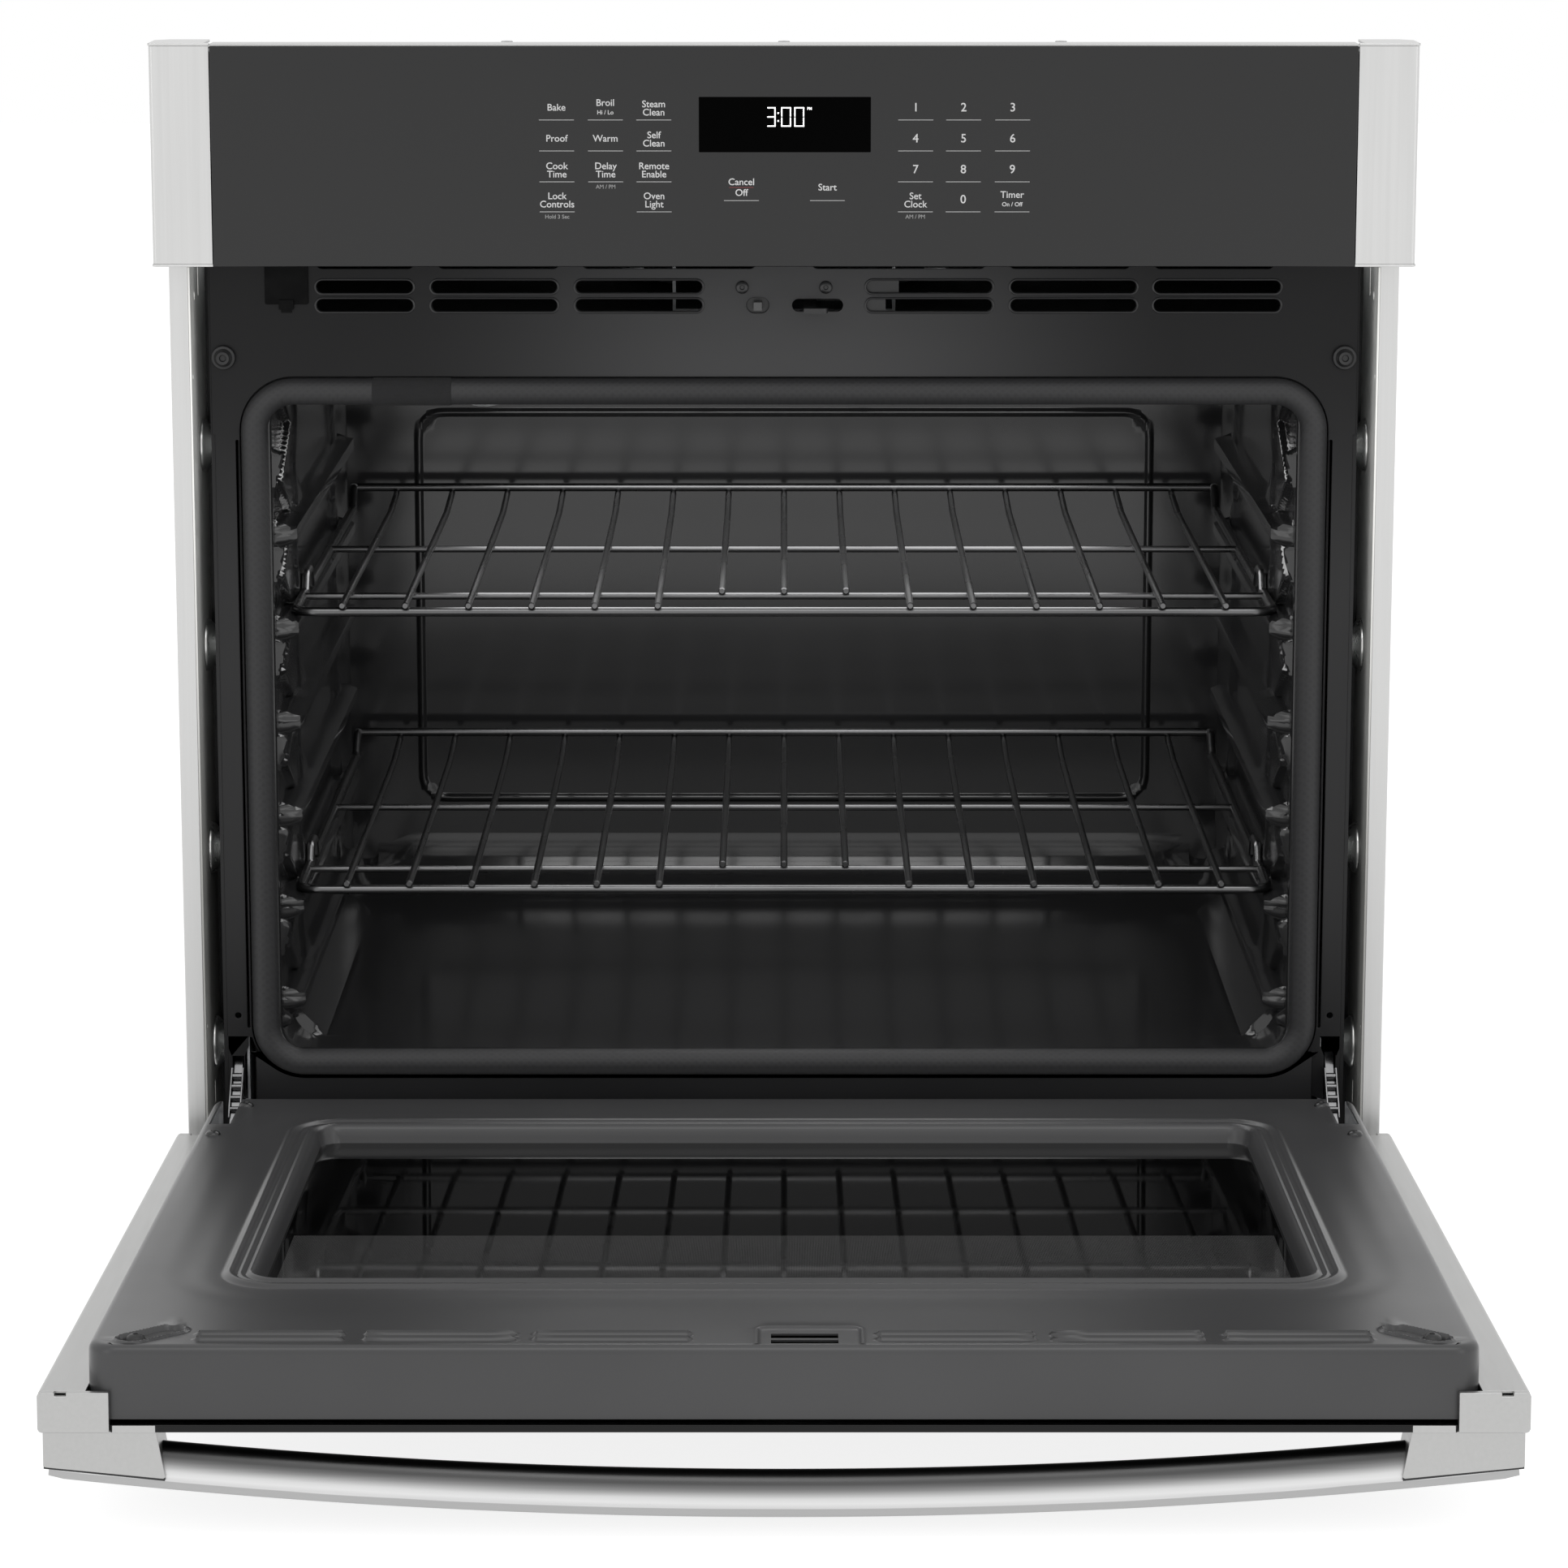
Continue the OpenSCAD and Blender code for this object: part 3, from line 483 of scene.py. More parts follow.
def revolve(profile, centre, axis, steps=40, turn=0.0):
    """A solid of revolution. profile is (radius, distance along the axis) from the centre."""
    spin = Vector((0, 0, 1)).rotation_difference(Vector(axis)).to_matrix()
    verts, faces, rings = [], [], []
    for r, h in profile:
        count = 1 if r < 1e-6 else steps
        rings.append(list(range(len(verts), len(verts) + count)))
        for k in range(count):
            a = 2 * math.pi * k / steps + turn
            verts.append(Vector(centre) + spin @ Vector((r * math.cos(a), r * math.sin(a), h)))
    for a, b in zip(rings, rings[1:]):
        for k in range(steps):
            j = (k + 1) % steps
            if len(a) > 1 and len(b) > 1:
                faces.append((a[k], b[k], b[j], a[j]))
            elif len(b) > 1:
                faces.append((a[0], b[k], b[j]))
            elif len(a) > 1:
                faces.append((a[k], b[0], a[j]))
    return verts, faces


def tube(points, r, closed=False, steps=14):
    """A round wire along points, with softened flat ends."""
    pts = [Vector(p) for p in points]
    n = len(pts)
    tangents = []
    for i in range(n):
        before = pts[i - 1] if closed or i else pts[i]
        after = pts[(i + 1) % n] if closed or i < n - 1 else pts[i]
        tangents.append((after - before).normalized())
    rings = [(p, t, r) for p, t in zip(pts, tangents)]
    if not closed:
        first, last = rings[0], rings[-1]
        rings = ([(first[0], first[1], r * 0.72), (first[0] + first[1] * r * 0.3, first[1], r)]
                 + rings[1:-1]
                 + [(last[0] - last[1] * r * 0.3, last[1], r), (last[0], last[1], r * 0.72)])
    normal = rings[0][1].orthogonal().normalized()
    verts, faces = [], []
    for p, t, size in rings:
        normal = (normal - t * normal.dot(t)).normalized()
        other = t.cross(normal)
        for k in range(steps):
            a = 2 * math.pi * k / steps
            verts.append(p + (normal * math.cos(a) + other * math.sin(a)) * size)
    m = len(rings)
    for i in range(m if closed else m - 1):
        for k in range(steps):
            j = (k + 1) % steps
            a, b = i * steps, ((i + 1) % m) * steps
            faces.append((a + k, a + j, b + j, b + k))
    if not closed:
        faces.append(tuple(range(steps)))
        faces.append(tuple(range((m - 1) * steps, m * steps)))
    return verts, faces


def bent_path(corners, closed=False, steps=6):
    """A path through corners (x, y, z, bend radius), with each corner rounded."""
    out = []
    n = len(corners)
    for i, corner in enumerate(corners):
        p, r = Vector(corner[:3]), corner[3]
        if r == 0 or (not closed and i in (0, n - 1)):
            out.append(p)
            continue
        to_before = (Vector(corners[i - 1][:3]) - p).normalized()
        to_after = (Vector(corners[(i + 1) % n][:3]) - p).normalized()
        half = to_before.angle(to_after) / 2
        reach = r / math.tan(half)
        a, b = p + to_before * reach, p + to_after * reach
        for k in range(steps + 1):
            t = k / steps
            out.append(a * (1 - t) ** 2 + p * 2 * t * (1 - t) + b * t * t)
    return out


def rounded(x0, z0, x1, z1, r, steps=8):
    """Outline of a rectangle with round corners, anticlockwise."""
    out = []
    for cx, cz, start in ((x1 - r, z1 - r, 0), (x0 + r, z1 - r, 90),
                          (x0 + r, z0 + r, 180), (x1 - r, z0 + r, 270)):
        for k in range(steps + 1):
            a = math.radians(start + 90 * k / steps)
            out.append((cx + r * math.cos(a), cz + r * math.sin(a)))
    return out


def bent_sheet(path, thickness, radius):
    """Outline of a folded sheet whose middle runs through the (u, v) points of path."""
    line = bent_path([(u, v, 0, radius) for u, v in path])
    left, right = [], []
    for i, p in enumerate(line):
        t = (line[min(i + 1, len(line) - 1)] - line[max(i - 1, 0)]).normalized()
        n = Vector((-t.y, t.x, 0)) * (thickness / 2)
        left.append((p.x + n.x, p.y + n.y))
        right.append((p.x - n.x, p.y - n.y))
    return left + right[::-1]


# ---------------------------------------------------------------- pieces

def make_object(name, part, pose=None):
    """A mesh object from a part, turned by pose where one is given, with faces outwards."""
    verts, faces = part
    points = [Vector(v) for v in verts]
    if pose is not None:
        points = [pose @ p for p in points]
    data = bpy.data.meshes.new(name)
    data.from_pydata([p * MM for p in points], [], faces)
    bm = bmesh.new()
    bm.from_mesh(data)
    bmesh.ops.remove_doubles(bm, verts=bm.verts, dist=0.002 * MM)
    bmesh.ops.dissolve_degenerate(bm, edges=bm.edges, dist=0.0005 * MM)
    bmesh.ops.recalc_face_normals(bm, faces=bm.faces)
    bm.to_mesh(data)
    bm.free()
    obj = bpy.data.objects.new(name, data)
    bpy.context.collection.objects.link(obj)
    return obj


def mark_folds(data, degrees=38):
    """Keeps folds sharper than this crisp under smooth shading."""
    data.shade_smooth()
    bm = bmesh.new()
    bm.from_mesh(data)
    limit = math.radians(degrees)
    for edge in bm.edges:
        edge.smooth = len(edge.link_faces) == 2 and edge.calc_face_angle(0) < limit
    bm.to_mesh(data)
    bm.free()


def finish_piece(obj, body, look, replaced=(), bevel=0.0, sheet=0.0):
    """Gives a piece its edges, material and body. Bevel and sheet are in millimetres."""
    obj.data.materials.clear()
    obj.data.materials.append(MAT[look])
    mark_folds(obj.data)
    if sheet:
        thick = obj.modifiers.new("sheet", "SOLIDIFY")
        thick.thickness = sheet * MM
        thick.offset = -1
    if bevel:
        edges = obj.modifiers.new("edges", "BEVEL")
        edges.width = bevel * MM
        edges.segments = 3
        edges.limit_method = "ANGLE"
        edges.angle_limit = math.radians(38)
    if not sheet:
        flat = obj.modifiers.new("flat", "WEIGHTED_NORMAL")
        flat.keep_sharp = not bevel
    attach(obj, body)
    if replaced:
        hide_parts(*replaced)
    return obj


def piece(name, part, body, look, bevel=0.0, pose=None, replaced=(), sheet=0.0):
    return finish_piece(make_object(name, part, pose), body, look, replaced, bevel, sheet)


def plate_part(outline, holes, lo, hi, axis, bevel=0.4):
    """A sheet with holes and softened edges, between lo and hi along an axis."""
    data = bpy.data.curves.new("plate", "CURVE")
    data.dimensions = "2D"
    data.fill_mode = "BOTH"
    data.extrude = ((hi - lo) / 2 - bevel) * MM
    data.bevel_depth = bevel * MM
    data.bevel_resolution = 2
    data.offset = -bevel * MM
    for loop in [outline] + list(holes):
        spline = data.splines.new("POLY")
        spline.points.add(len(loop) - 1)
        for place, (u, v) in zip(spline.points, loop):
            place.co = (u * MM, v * MM, 0, 1)
        spline.use_cyclic_u = True
    curve = bpy.data.objects.new("plate", data)
    bpy.context.collection.objects.link(curve)
    shown = curve.evaluated_get(bpy.context.evaluated_depsgraph_get())
    mesh = bpy.data.meshes.new_from_object(shown)
    verts = [on_axis(v.co.x / MM, v.co.y / MM, (lo + hi) / 2 + v.co.z / MM, axis)
             for v in mesh.vertices]
    faces = [tuple(p.vertices) for p in mesh.polygons]
    bpy.data.objects.remove(curve)
    bpy.data.curves.remove(data)
    bpy.data.meshes.remove(mesh)
    return verts, faces


# ---------------------------------------------------------------- pressed sheets

def grid_lines(low, high, coarse, marks):
    """Grid positions from low to high. Near each (place, reach, step) they lie closer."""
    lines = {low, high}
    at = low
    while at < high:
        step = coarse
        for place, reach, fine in marks:
            if abs(at - place) <= reach + 1e-6:
                step = min(step, fine)
            elif at < place - reach:
                step = min(step, max(fine, place - reach - at))
        lines.add(round(at, 4))
        at += step
    lines |= {place for place, _, _ in marks if low < place < high}
    out = []
    for value in sorted(lines):
        if not out or value - out[-1] > 0.15:
            out.append(value)
    return out


def two_sided(marks):
    return [(-place, reach, step) for place, reach, step in marks] + list(marks)


def soft(t):
    t = max(0.0, min(1.0, t))
    return t * t * (3 - 2 * t)


def ridge(t, width):
    """A soft ridge: 1 at t = 0, falling to 0 at half its width."""
    return 0.5 + 0.5 * math.cos(math.pi * max(-1.0, min(1.0, 2 * t / width)))


def rect_distance(u, v, u0, v0, u1, v1, r):
    """Distance outside a rectangle with round corners; negative inside."""
    qu = abs(u - (u0 + u1) / 2) - (u1 - u0) / 2 + r
    qv = abs(v - (v0 + v1) / 2) - (v1 - v0) / 2 + r
    return math.hypot(max(qu, 0), max(qv, 0)) + min(max(qu, qv), 0) - r


def line_distance(u, v, u0, u1, level):
    """Distance from a level line between u0 and u1."""
    return math.hypot(max(u0 - u, 0, u - u1), v - level)


def pressed(us, vs, put, keep=None):
    """A sheet over grid lines us and vs. put(u, v) gives each point; keep says where it stays."""
    verts = [put(u, v) for v in vs for u in us]
    faces = []
    n = len(us)
    for j in range(len(vs) - 1):
        for i in range(n - 1):
            if keep is None or keep((us[i] + us[i + 1]) / 2, (vs[j] + vs[j + 1]) / 2):
                faces.append((j * n + i, j * n + i + 1, (j + 1) * n + i + 1, (j + 1) * n + i))
    return verts, faces


def rows_part(rows, closed=True):
    """Quads between rows of points that match one to one."""
    n = len(rows[0])
    verts = [p for row in rows for p in row]
    faces = []
    for r in range(len(rows) - 1):
        for k in range(n if closed else n - 1):
            j = (k + 1) % n
            faces.append((r * n + k, r * n + j, (r + 1) * n + j, (r + 1) * n + k))
    return verts, faces


# ---------------------------------------------------------------- control panel

DISPLAY = (-50.7, 662.4, 51.7, 695.3)
KEY_COLUMNS = {"left": (-135.4, -106.3, -77.5), "right": (78.4, 106.9, 136.1)}
KEY_ROWS = (681.6, 663.2, 644.8, 626.9)
CANCEL_X, START_X, START_ROW = -25.4, 25.9, 633.6
CLOCK_LOW, CLOCK_HIGH, CLOCK_WIDE = 677.6, 11.6, 5.9


def panel_cap(side, s):
    """Brushed cap at one end of the panel, with a thin lip at its top and bottom."""
    x0, x1 = CAP_LO.x, CAP_HI.x
    y0, y1 = CAP_LO.y, CAP_HI.y
    lip = 1.6
    face = bent_sheet([(x0 + 0.2, y0 + 1.2), (x1 - 1.2, y0 + 1.2), (x1 - 1.2, y1)], 1.5, 1.6)
    lid = [(x0, y0), (x1 - 1.5, y0), (x1, y0 + 1.5), (x1, y1 - 8), (x1 - 8, y1), (x0 + 4, y1),
           (x0 + 4, y0 + 4), (x0, y0 + 4)]
    part = joined([prism(face, CAP_LO.z + lip, CAP_HI.z - lip, "Z"),
                   prism(lid, CAP_LO.z, CAP_LO.z + lip, "Z"),
                   prism(lid, CAP_HI.z - lip, CAP_HI.z, "Z")])
    piece(f"panel_cap_{side}_brushed", on_side(part, s), "oven_body", "steel_z",
          0.35, replaced=(f"panel_cap_{side}",))


def control_panel():
    piece("control_glass_panel", box(GLASS_LO, GLASS_HI), "oven_body", "panel",
          0.6, replaced=("control_glass",))
    piece("panel_top_trim", box(TOP_LO, TOP_HI), "oven_body", "steel_x", 0.35,
          replaced=("panel_top_strip",))
    window = rounded(*DISPLAY, 0.4, 2)
    piece("display_window", prism(window, GLASS_LO.y - 0.05, GLASS_LO.y + 0.4, "Y"),
          "oven_body", "display")
    for side, s in SIDES:
        panel_cap(side, s)


def segment_digit(x, low, width, height, bars):
    """A seven-segment figure from thin bars. bars names the lit ones, a to g."""
    t, gap = 0.72, 0.3
    mid, top = low + height / 2, low + height
    places = {
        "a": (x, top - t, x + width, top), "d": (x, low, x + width, low + t),
        "g": (x, mid - t / 2, x + width, mid + t / 2),
        "f": (x, mid + gap, x + t, top - gap), "b": (x + width - t, mid + gap, x + width, top - gap),
        "e": (x, low + gap, x + t, mid - gap), "c": (x + width - t, low + gap, x + width, mid - gap),
    }
    front = GLASS_LO.y - 0.1
    return joined([box((u0, front, v0), (u1, front + 0.08, v1))
                   for u0, v0, u1, v1 in (places[b] for b in bars)])


def text_part(words):
    """Flat lettering just proud of the glass, from (text, size, x, z) entries."""
    data = bpy.data.curves.new("words", "FONT")
    data.align_x, data.align_y = "CENTER", "CENTER"
    data.extrude = 0.03 * MM
    data.resolution_u = 4
    data.offset = 0.05 * MM
    obj = bpy.data.objects.new("words", data)
    bpy.context.collection.objects.link(obj)
    parts = []
    for text, size, x, z in words:
        data.body = text
        data.size = size * MM
        shown = obj.evaluated_get(bpy.context.evaluated_depsgraph_get())
        mesh = bpy.data.meshes.new_from_object(shown)
        verts = [(x + v.co.x / MM, GLASS_LO.y - 0.04 - v.co.z / MM, z + v.co.y / MM)
                 for v in mesh.vertices]
        parts.append((verts, [tuple(p.vertices) for p in mesh.polygons]))
        bpy.data.meshes.remove(mesh)
    bpy.data.objects.remove(obj)
    bpy.data.curves.remove(data)
    return joined(parts)


def panel_print():
    """Key legends, the lines under them and the clock. Generic words and numbers only."""
    word, digit, note, small = 5.7, 7.2, 3.3, 3.5
    half, thin = 10.4, 0.2
    keys = {
        "left": [["Bake", "Broil|Hi / Lo", "Steam\nClean"], ["Proof", "Warm", "Self\nClean"],
                 ["Cook\nTime", "Delay\nTime", "Remote\nEnable"],
                 ["Lock\nControls", None, "Oven\nLight"]],
        "right": [list("123"), list("456"), list("789"), ["Set\nClock", "0", "Timer|On / Off"]],
    }
    words, notes, lines = [], [], []
    for block, xs in KEY_COLUMNS.items():
        for z, row in zip(KEY_ROWS, keys[block]):
            for x, text in zip(xs, row):
                if text is None:
                    continue
                lines.append((x - half, z - thin, x + half, z + thin))
                if "\n" in text:
                    upper, lower = text.split("\n")
                    words += [(upper, word, x, z + 9.3), (lower, word, x, z + 4.4)]
                elif "|" in text:
                    upper, lower = text.split("|")
                    words += [(upper, word, x, z + 10.1), (lower, small, x, z + 4.4)]
                else:
                    size = digit if len(text) == 1 else word
                    words.append((text, size, x, z + 7.3))
    for x, z in ((CANCEL_X, START_ROW), (START_X, START_ROW)):
        lines.append((x - half, z - thin, x + half, z + thin))
    words += [("Cancel", word, CANCEL_X, 644.6), ("Off", word, CANCEL_X, 638.2),
              ("Start", word, START_X, 641.4)]
    notes += [("Hold 3 Sec", note, -135.4, 623.9), ("AM / PM", note, -106.3, 641.8),
              ("AM / PM", note, 78.4, 623.9)]
    piece("panel_words", text_part(words), "oven_body", "print")
    piece("panel_notes", text_part(notes), "oven_body", "print_soft")
    front = GLASS_LO.y - 0.06
    piece("panel_key_lines", joined([box((a, front, b), (c, front + 0.1, d))
                                     for a, b, c, d in lines]),
          "oven_body", "print_line")
    piece("panel_cancel_line", box((-32.6, front, 641.3), (-18.2, front + 0.1, 641.6)),
          "oven_body", "print_red")
    low, height = CLOCK_LOW, CLOCK_HIGH
    dots = joined([box((-3.9, front - 0.04, z), (-3.0, front + 0.04, z + 0.9))
                   for z in (low + 3.0, low + 7.6)])
    clock = joined([segment_digit(-9.9, low, 4.9, height, "abcdg"), dots,
                    segment_digit(-1.7, low, CLOCK_WIDE, height, "abcdef"),
                    segment_digit(6.1, low, CLOCK_WIDE, height, "abcdef"),
                    text_part([("PM", 2.2, 15.2, 688.3)])])
    piece("display_digits", clock, "oven_body", "digits")


# ---------------------------------------------------------------- front frame

VENT_ROWS, TOP_ROW, VENT_HIGH = (565.0, 576.3), 591, 7.2
VENT_SPANS = ((-284.9, -226.5), (-214.8, -138.5), (-126.8, -50.0),
              (50.5, 126.8), (138.4, 214.7), (225.8, 302.6))
TOP_SPANS = ((-284.9, -225.5), (-211.0, -137.0), (-123.0, -17.0),
             (17.0, 123.0), (137.0, 211.0), (225.5, 298.5))


def slot_outline(x0, x1, z, height):
    return rounded(x0, z - height / 2, x1, z + height / 2, height / 2 - 0.02, 6)


def circle_outline(u, v, r, steps=20):
    return [(u + r * math.cos(2 * math.pi * k / steps), v + r * math.sin(2 * math.pi * k / steps))
            for k in range(steps)]


def hinge_opening(s):
    """Funnel-shaped opening that the hinge arm comes through."""
    x = HINGE_X
    points = [(x - 6, 104), (x + 6, 104), (x + 6, 98), (x + 3.6, 92), (x + 3.6, 64),
              (x - 3.6, 64), (x - 3.6, 92), (x - 6, 98)]
    return [(s * u, v) for u, v in points]


def front_frame():
    low, step, top = 20.0, 485.0, 722.0
    outline = [(-349, low), (349, low), (349, step), (350.6, step), (350.6, top),
               (-350.6, top), (-350.6, step), (-349, step)]
    mouth = rounded(-333.5, 79, 333.5, 521, 33.4, 12)
    holes = [mouth, slot_outline(-22.8, -9.2, 565, 9.6),
             slot_outline(5, 36, 565, 7.6), rounded(-200, 625, 200, 695, 2, 2)]
    holes += [slot_outline(a, b, z, VENT_HIGH) for z in VENT_ROWS for a, b in VENT_SPANS]
    holes += [slot_outline(a, b, TOP_ROW, VENT_HIGH) for a, b in TOP_SPANS]
    for side, s in SIDES:
        gap = rounded(334.4, 110, 336.2, 482, 0.8, 2)
        holes += [[(s * u, v) for u, v in gap], hinge_opening(s),
                  circle_outline(s * 342.0, 118.0, 1.9)]
    plate = plate_part(outline, holes, FRAME_Y, FRAME_BACK, "Y", 0.5)
    collar = plate_part(rounded(-335, 77.5, 335, 522.5, 34.9, 12),
                        [mouth], FRAME_BACK - 0.2, 19, "Y", 0.2)
    painted_shade_fold = both(joined([box((348.8, FRAME_Y + 0.5, low), (351.2, FRAME_BACK + 2, step)),
                        box((350.2, FRAME_Y + 0.5, step), (351.4, FRAME_BACK + 2, BACK_HI.z))]))
    piece("front_frame_plate", joined([plate, collar, painted_shade_fold]), "oven_body", "frame",
          replaced=("front_frame",))


def vent_rims():
    """Low rolled rims round the vent slots."""
    rims = []
    for z in VENT_ROWS:
        for a, b in VENT_SPANS:
            loop = [(u, FRAME_Y, v) for u, v in slot_outline(a - 0.9, b + 0.9, z, 9.0)]
            rims.append(tube(loop, 0.7, True, 8))
    piece("vent_rims", joined(rims), "oven_body", "enamel")


def frame_fittings():
    """Bracket, lower apron, bumpers and screws on the front of the frame."""
    bracket = plate_part(rounded(-316.5, 565.6, -290, 594, 1.2, 3), [], 8.4, 10.2, "Y", 0.3)
    clip = [box((-308, 7.4, 562.6), (-299, 8.8, 568.4)), box((-306.6, 8.2, 560.6), (-300.4, 10, 563.6))]
    piece("frame_bracket", joined([bracket] + clip), "oven_body", "matt")

    x, top = 331.0, 94.5
    reach = 34.6
    corner = [(-300.1 - reach * math.cos(math.radians(a)), 112.7 - reach * math.sin(math.radians(a)))
              for a in range(33, 91, 4)]
    outline = [(-x, 22), (-x, top)] + [(corner[0][0] - 4, top)] + corner
    outline += [(-u, v) for u, v in reversed(outline)]
    apron = prism(outline[::-1], 8.3, 9.9, "Y")
    piece("lower_apron", apron, "oven_body", "enamel", 0.35)

    at = Vector((342.5, FRAME_Y, 533))
    bumper = both(joined([
        revolve([(0, 4.6), (1.7, 4.6), (2.2, 6.0), (3.9, 6.3), (4.4, 5.0), (5.0, 4.6), (5.6, 3.4),
                 (7.0, 3.0), (7.5, 2.2), (7.5, 0.0)], at, (0, -1, 0)),
        revolve([(1.9, -0.1), (1.9, 4.9), (0, 4.9)], at, (0, 1, 0))]))
    piece("frame_bumper_buttons", bumper, "oven_body", "rubber",
          replaced=("frame_bumpers",))

    at = Vector((25.5, FRAME_Y, 576))
    screw = both(joined([
        revolve([(0, 0.9), (1.1, 0.9), (1.5, 2.0), (2.9, 1.9), (3.7, 1.2), (4.0, 0.4), (4.0, 0)],
                at, (0, -1, 0)),
        revolve([(1.5, -0.2), (1.5, 8), (0, 8)], at, (0, 1, 0), 16)]))
    piece("frame_screw_heads", screw, "oven_body", "screw",
          replaced=("frame_screws",))


def seal():
    """Woven tube round the opening, its flat tail and the sleeve over its joint."""
    x, low, top, b = GASKET_X, GASKET_LOW, GASKET_TOP, GASKET_BEND
    loop = [(u, GASKET_Y, v) for u, v in rounded(-x, low, x, top, b, 14)]
    piece("door_seal", tube(loop, GASKET_R - 0.2, True, 28), "oven_body", "braid",
          replaced=("door_gasket",))
    r = GASKET_R
    sleeve = revolve([(r - 0.6, 0), (r + 0.1, 0.5), (r + 0.35, 2), (r + 0.35, 47), (r + 0.1, 48.5),
                      (r - 0.6, 49)], (-252, GASKET_Y, top), (1, 0, 0))
    piece("door_seal_sleeve", sleeve, "oven_body", "sleeve",
          replaced=("gasket_sleeve",))
    tail = plate_part(rounded(-334.2, 78.3, 334.2, 521.7, 33.8, 12),
                      [rounded(-317, 93, 317, 506, 17, 12)], 16.4, 18.6, "Y", 0.3)
    piece("door_seal_tail", tail, "oven_body", "braid")


# ---------------------------------------------------------------- cavity

CAVITY_TURN = 22.0
BEND_Y = 468.0
LIP = (316.5, 93.0, 506.0, 16.0)
LIP_Y = 19.3


def opening_loop(share, x_out, low, top, r, x_in, low_in, top_in, r_in, zs):
    """One loop of cavity wall between two rounded rectangles, share 0 to 1 towards the second.

    Returns (point, inward direction, kind) entries that match from loop to loop.
    """
    def mix(a, b):
        return a * (1 - share) + b * share

    x, z0, z1, r = mix(x_out, x_in), mix(low, low_in), mix(top, top_in), mix(r, r_in)
    out = []
    spans = [f / 24 for f in range(25)]
    corner = [90 * k / 10 for k in range(1, 10)]
    for f in spans:
        out.append(((-x + r + f * 2 * (x - r), z0), (0, 1), "floor"))
    for a in corner:
        t = math.radians(-90 + a)
        out.append(((x - r + r * math.cos(t), z0 + r + r * math.sin(t)),
                    (-math.cos(t), -math.sin(t)), "corner"))
    for z in zs:
        out.append(((x, z0 + r + z * (z1 - z0 - 2 * r)), (-1, 0), "side"))
    for a in corner:
        t = math.radians(a)
        out.append(((x - r + r * math.cos(t), z1 - r + r * math.sin(t)),
                    (-math.cos(t), -math.sin(t)), "top"))
    for f in spans:
        out.append(((x - r - f * 2 * (x - r), z1), (0, -1), "top"))
    for a in corner:
        t = math.radians(90 + a)
        out.append(((-x + r + r * math.cos(t), z1 - r + r * math.sin(t)),
                    (-math.cos(t), -math.sin(t)), "top"))
    for z in reversed(zs):
        out.append(((-x, z0 + r + z * (z1 - z0 - 2 * r)), (1, 0), "side"))
    for a in corner:
        t = math.radians(180 + a)
        out.append(((-x + r + r * math.cos(t), z0 + r + r * math.sin(t)),
                    (-math.cos(t), -math.sin(t)), "corner"))
    return out


def guide_height(y, z):
    """How far the pressed side wall stands in: rack ribs, wavy columns and slanting pockets."""
    h = 0.0
    # rack ribs, steep above and sloping below
    for top in RIB_TOPS:
        dz = z - (top - RIB_DROP)
        if abs(dz) > 14:
            continue
        dy = max(40 - y, y - 434, 0)
        gap = math.hypot(max(abs(dz) - 3.4, 0), dy)
        width = 2.4 if dz > 0 else 7.0
        h = max(h, 13.4 * (1 - soft(gap / (max(width, 5.0) if dy else width))))
    bay = (z - (RIB_TOPS[0] - RIB_PITCH)) / RIB_PITCH
    if bay > 0 and z < 505:
        # columns whose place and width swing once between two ribs
        t = bay - math.floor(bay)
        wave = math.cos(2 * math.pi * t)
        column = abs(y - (122 + 13 * wave)) - (11 + 7 * wave)
        h = max(h, 6.3 * (1 - soft((column + 4) / 10)))
        edge = 40 + 62 * abs(t - 0.45) / 0.55
        h = max(h, 4.2 * soft((y - edge) / 6) * (1 - soft((y - 118) / 12)))
        # the rear column, and wedges at the front that grow downwards from each rib
        rear = abs(y - (400 + 8 * wave)) - (7 + 4 * wave)
        h = max(h, 3.6 * (1 - soft((rear + 3) / 8)))
        wedge = 6.3 * soft((t - 0.30) / 0.50) * (1 - soft((t - 0.80) / 0.05))
        if y < 40:
            rise = min(wedge, 1.5 * (y - 22.5))
            h = max(h, rise * (1 - soft((y - 24.5 - wedge / 1.5) / 4)))
    return h


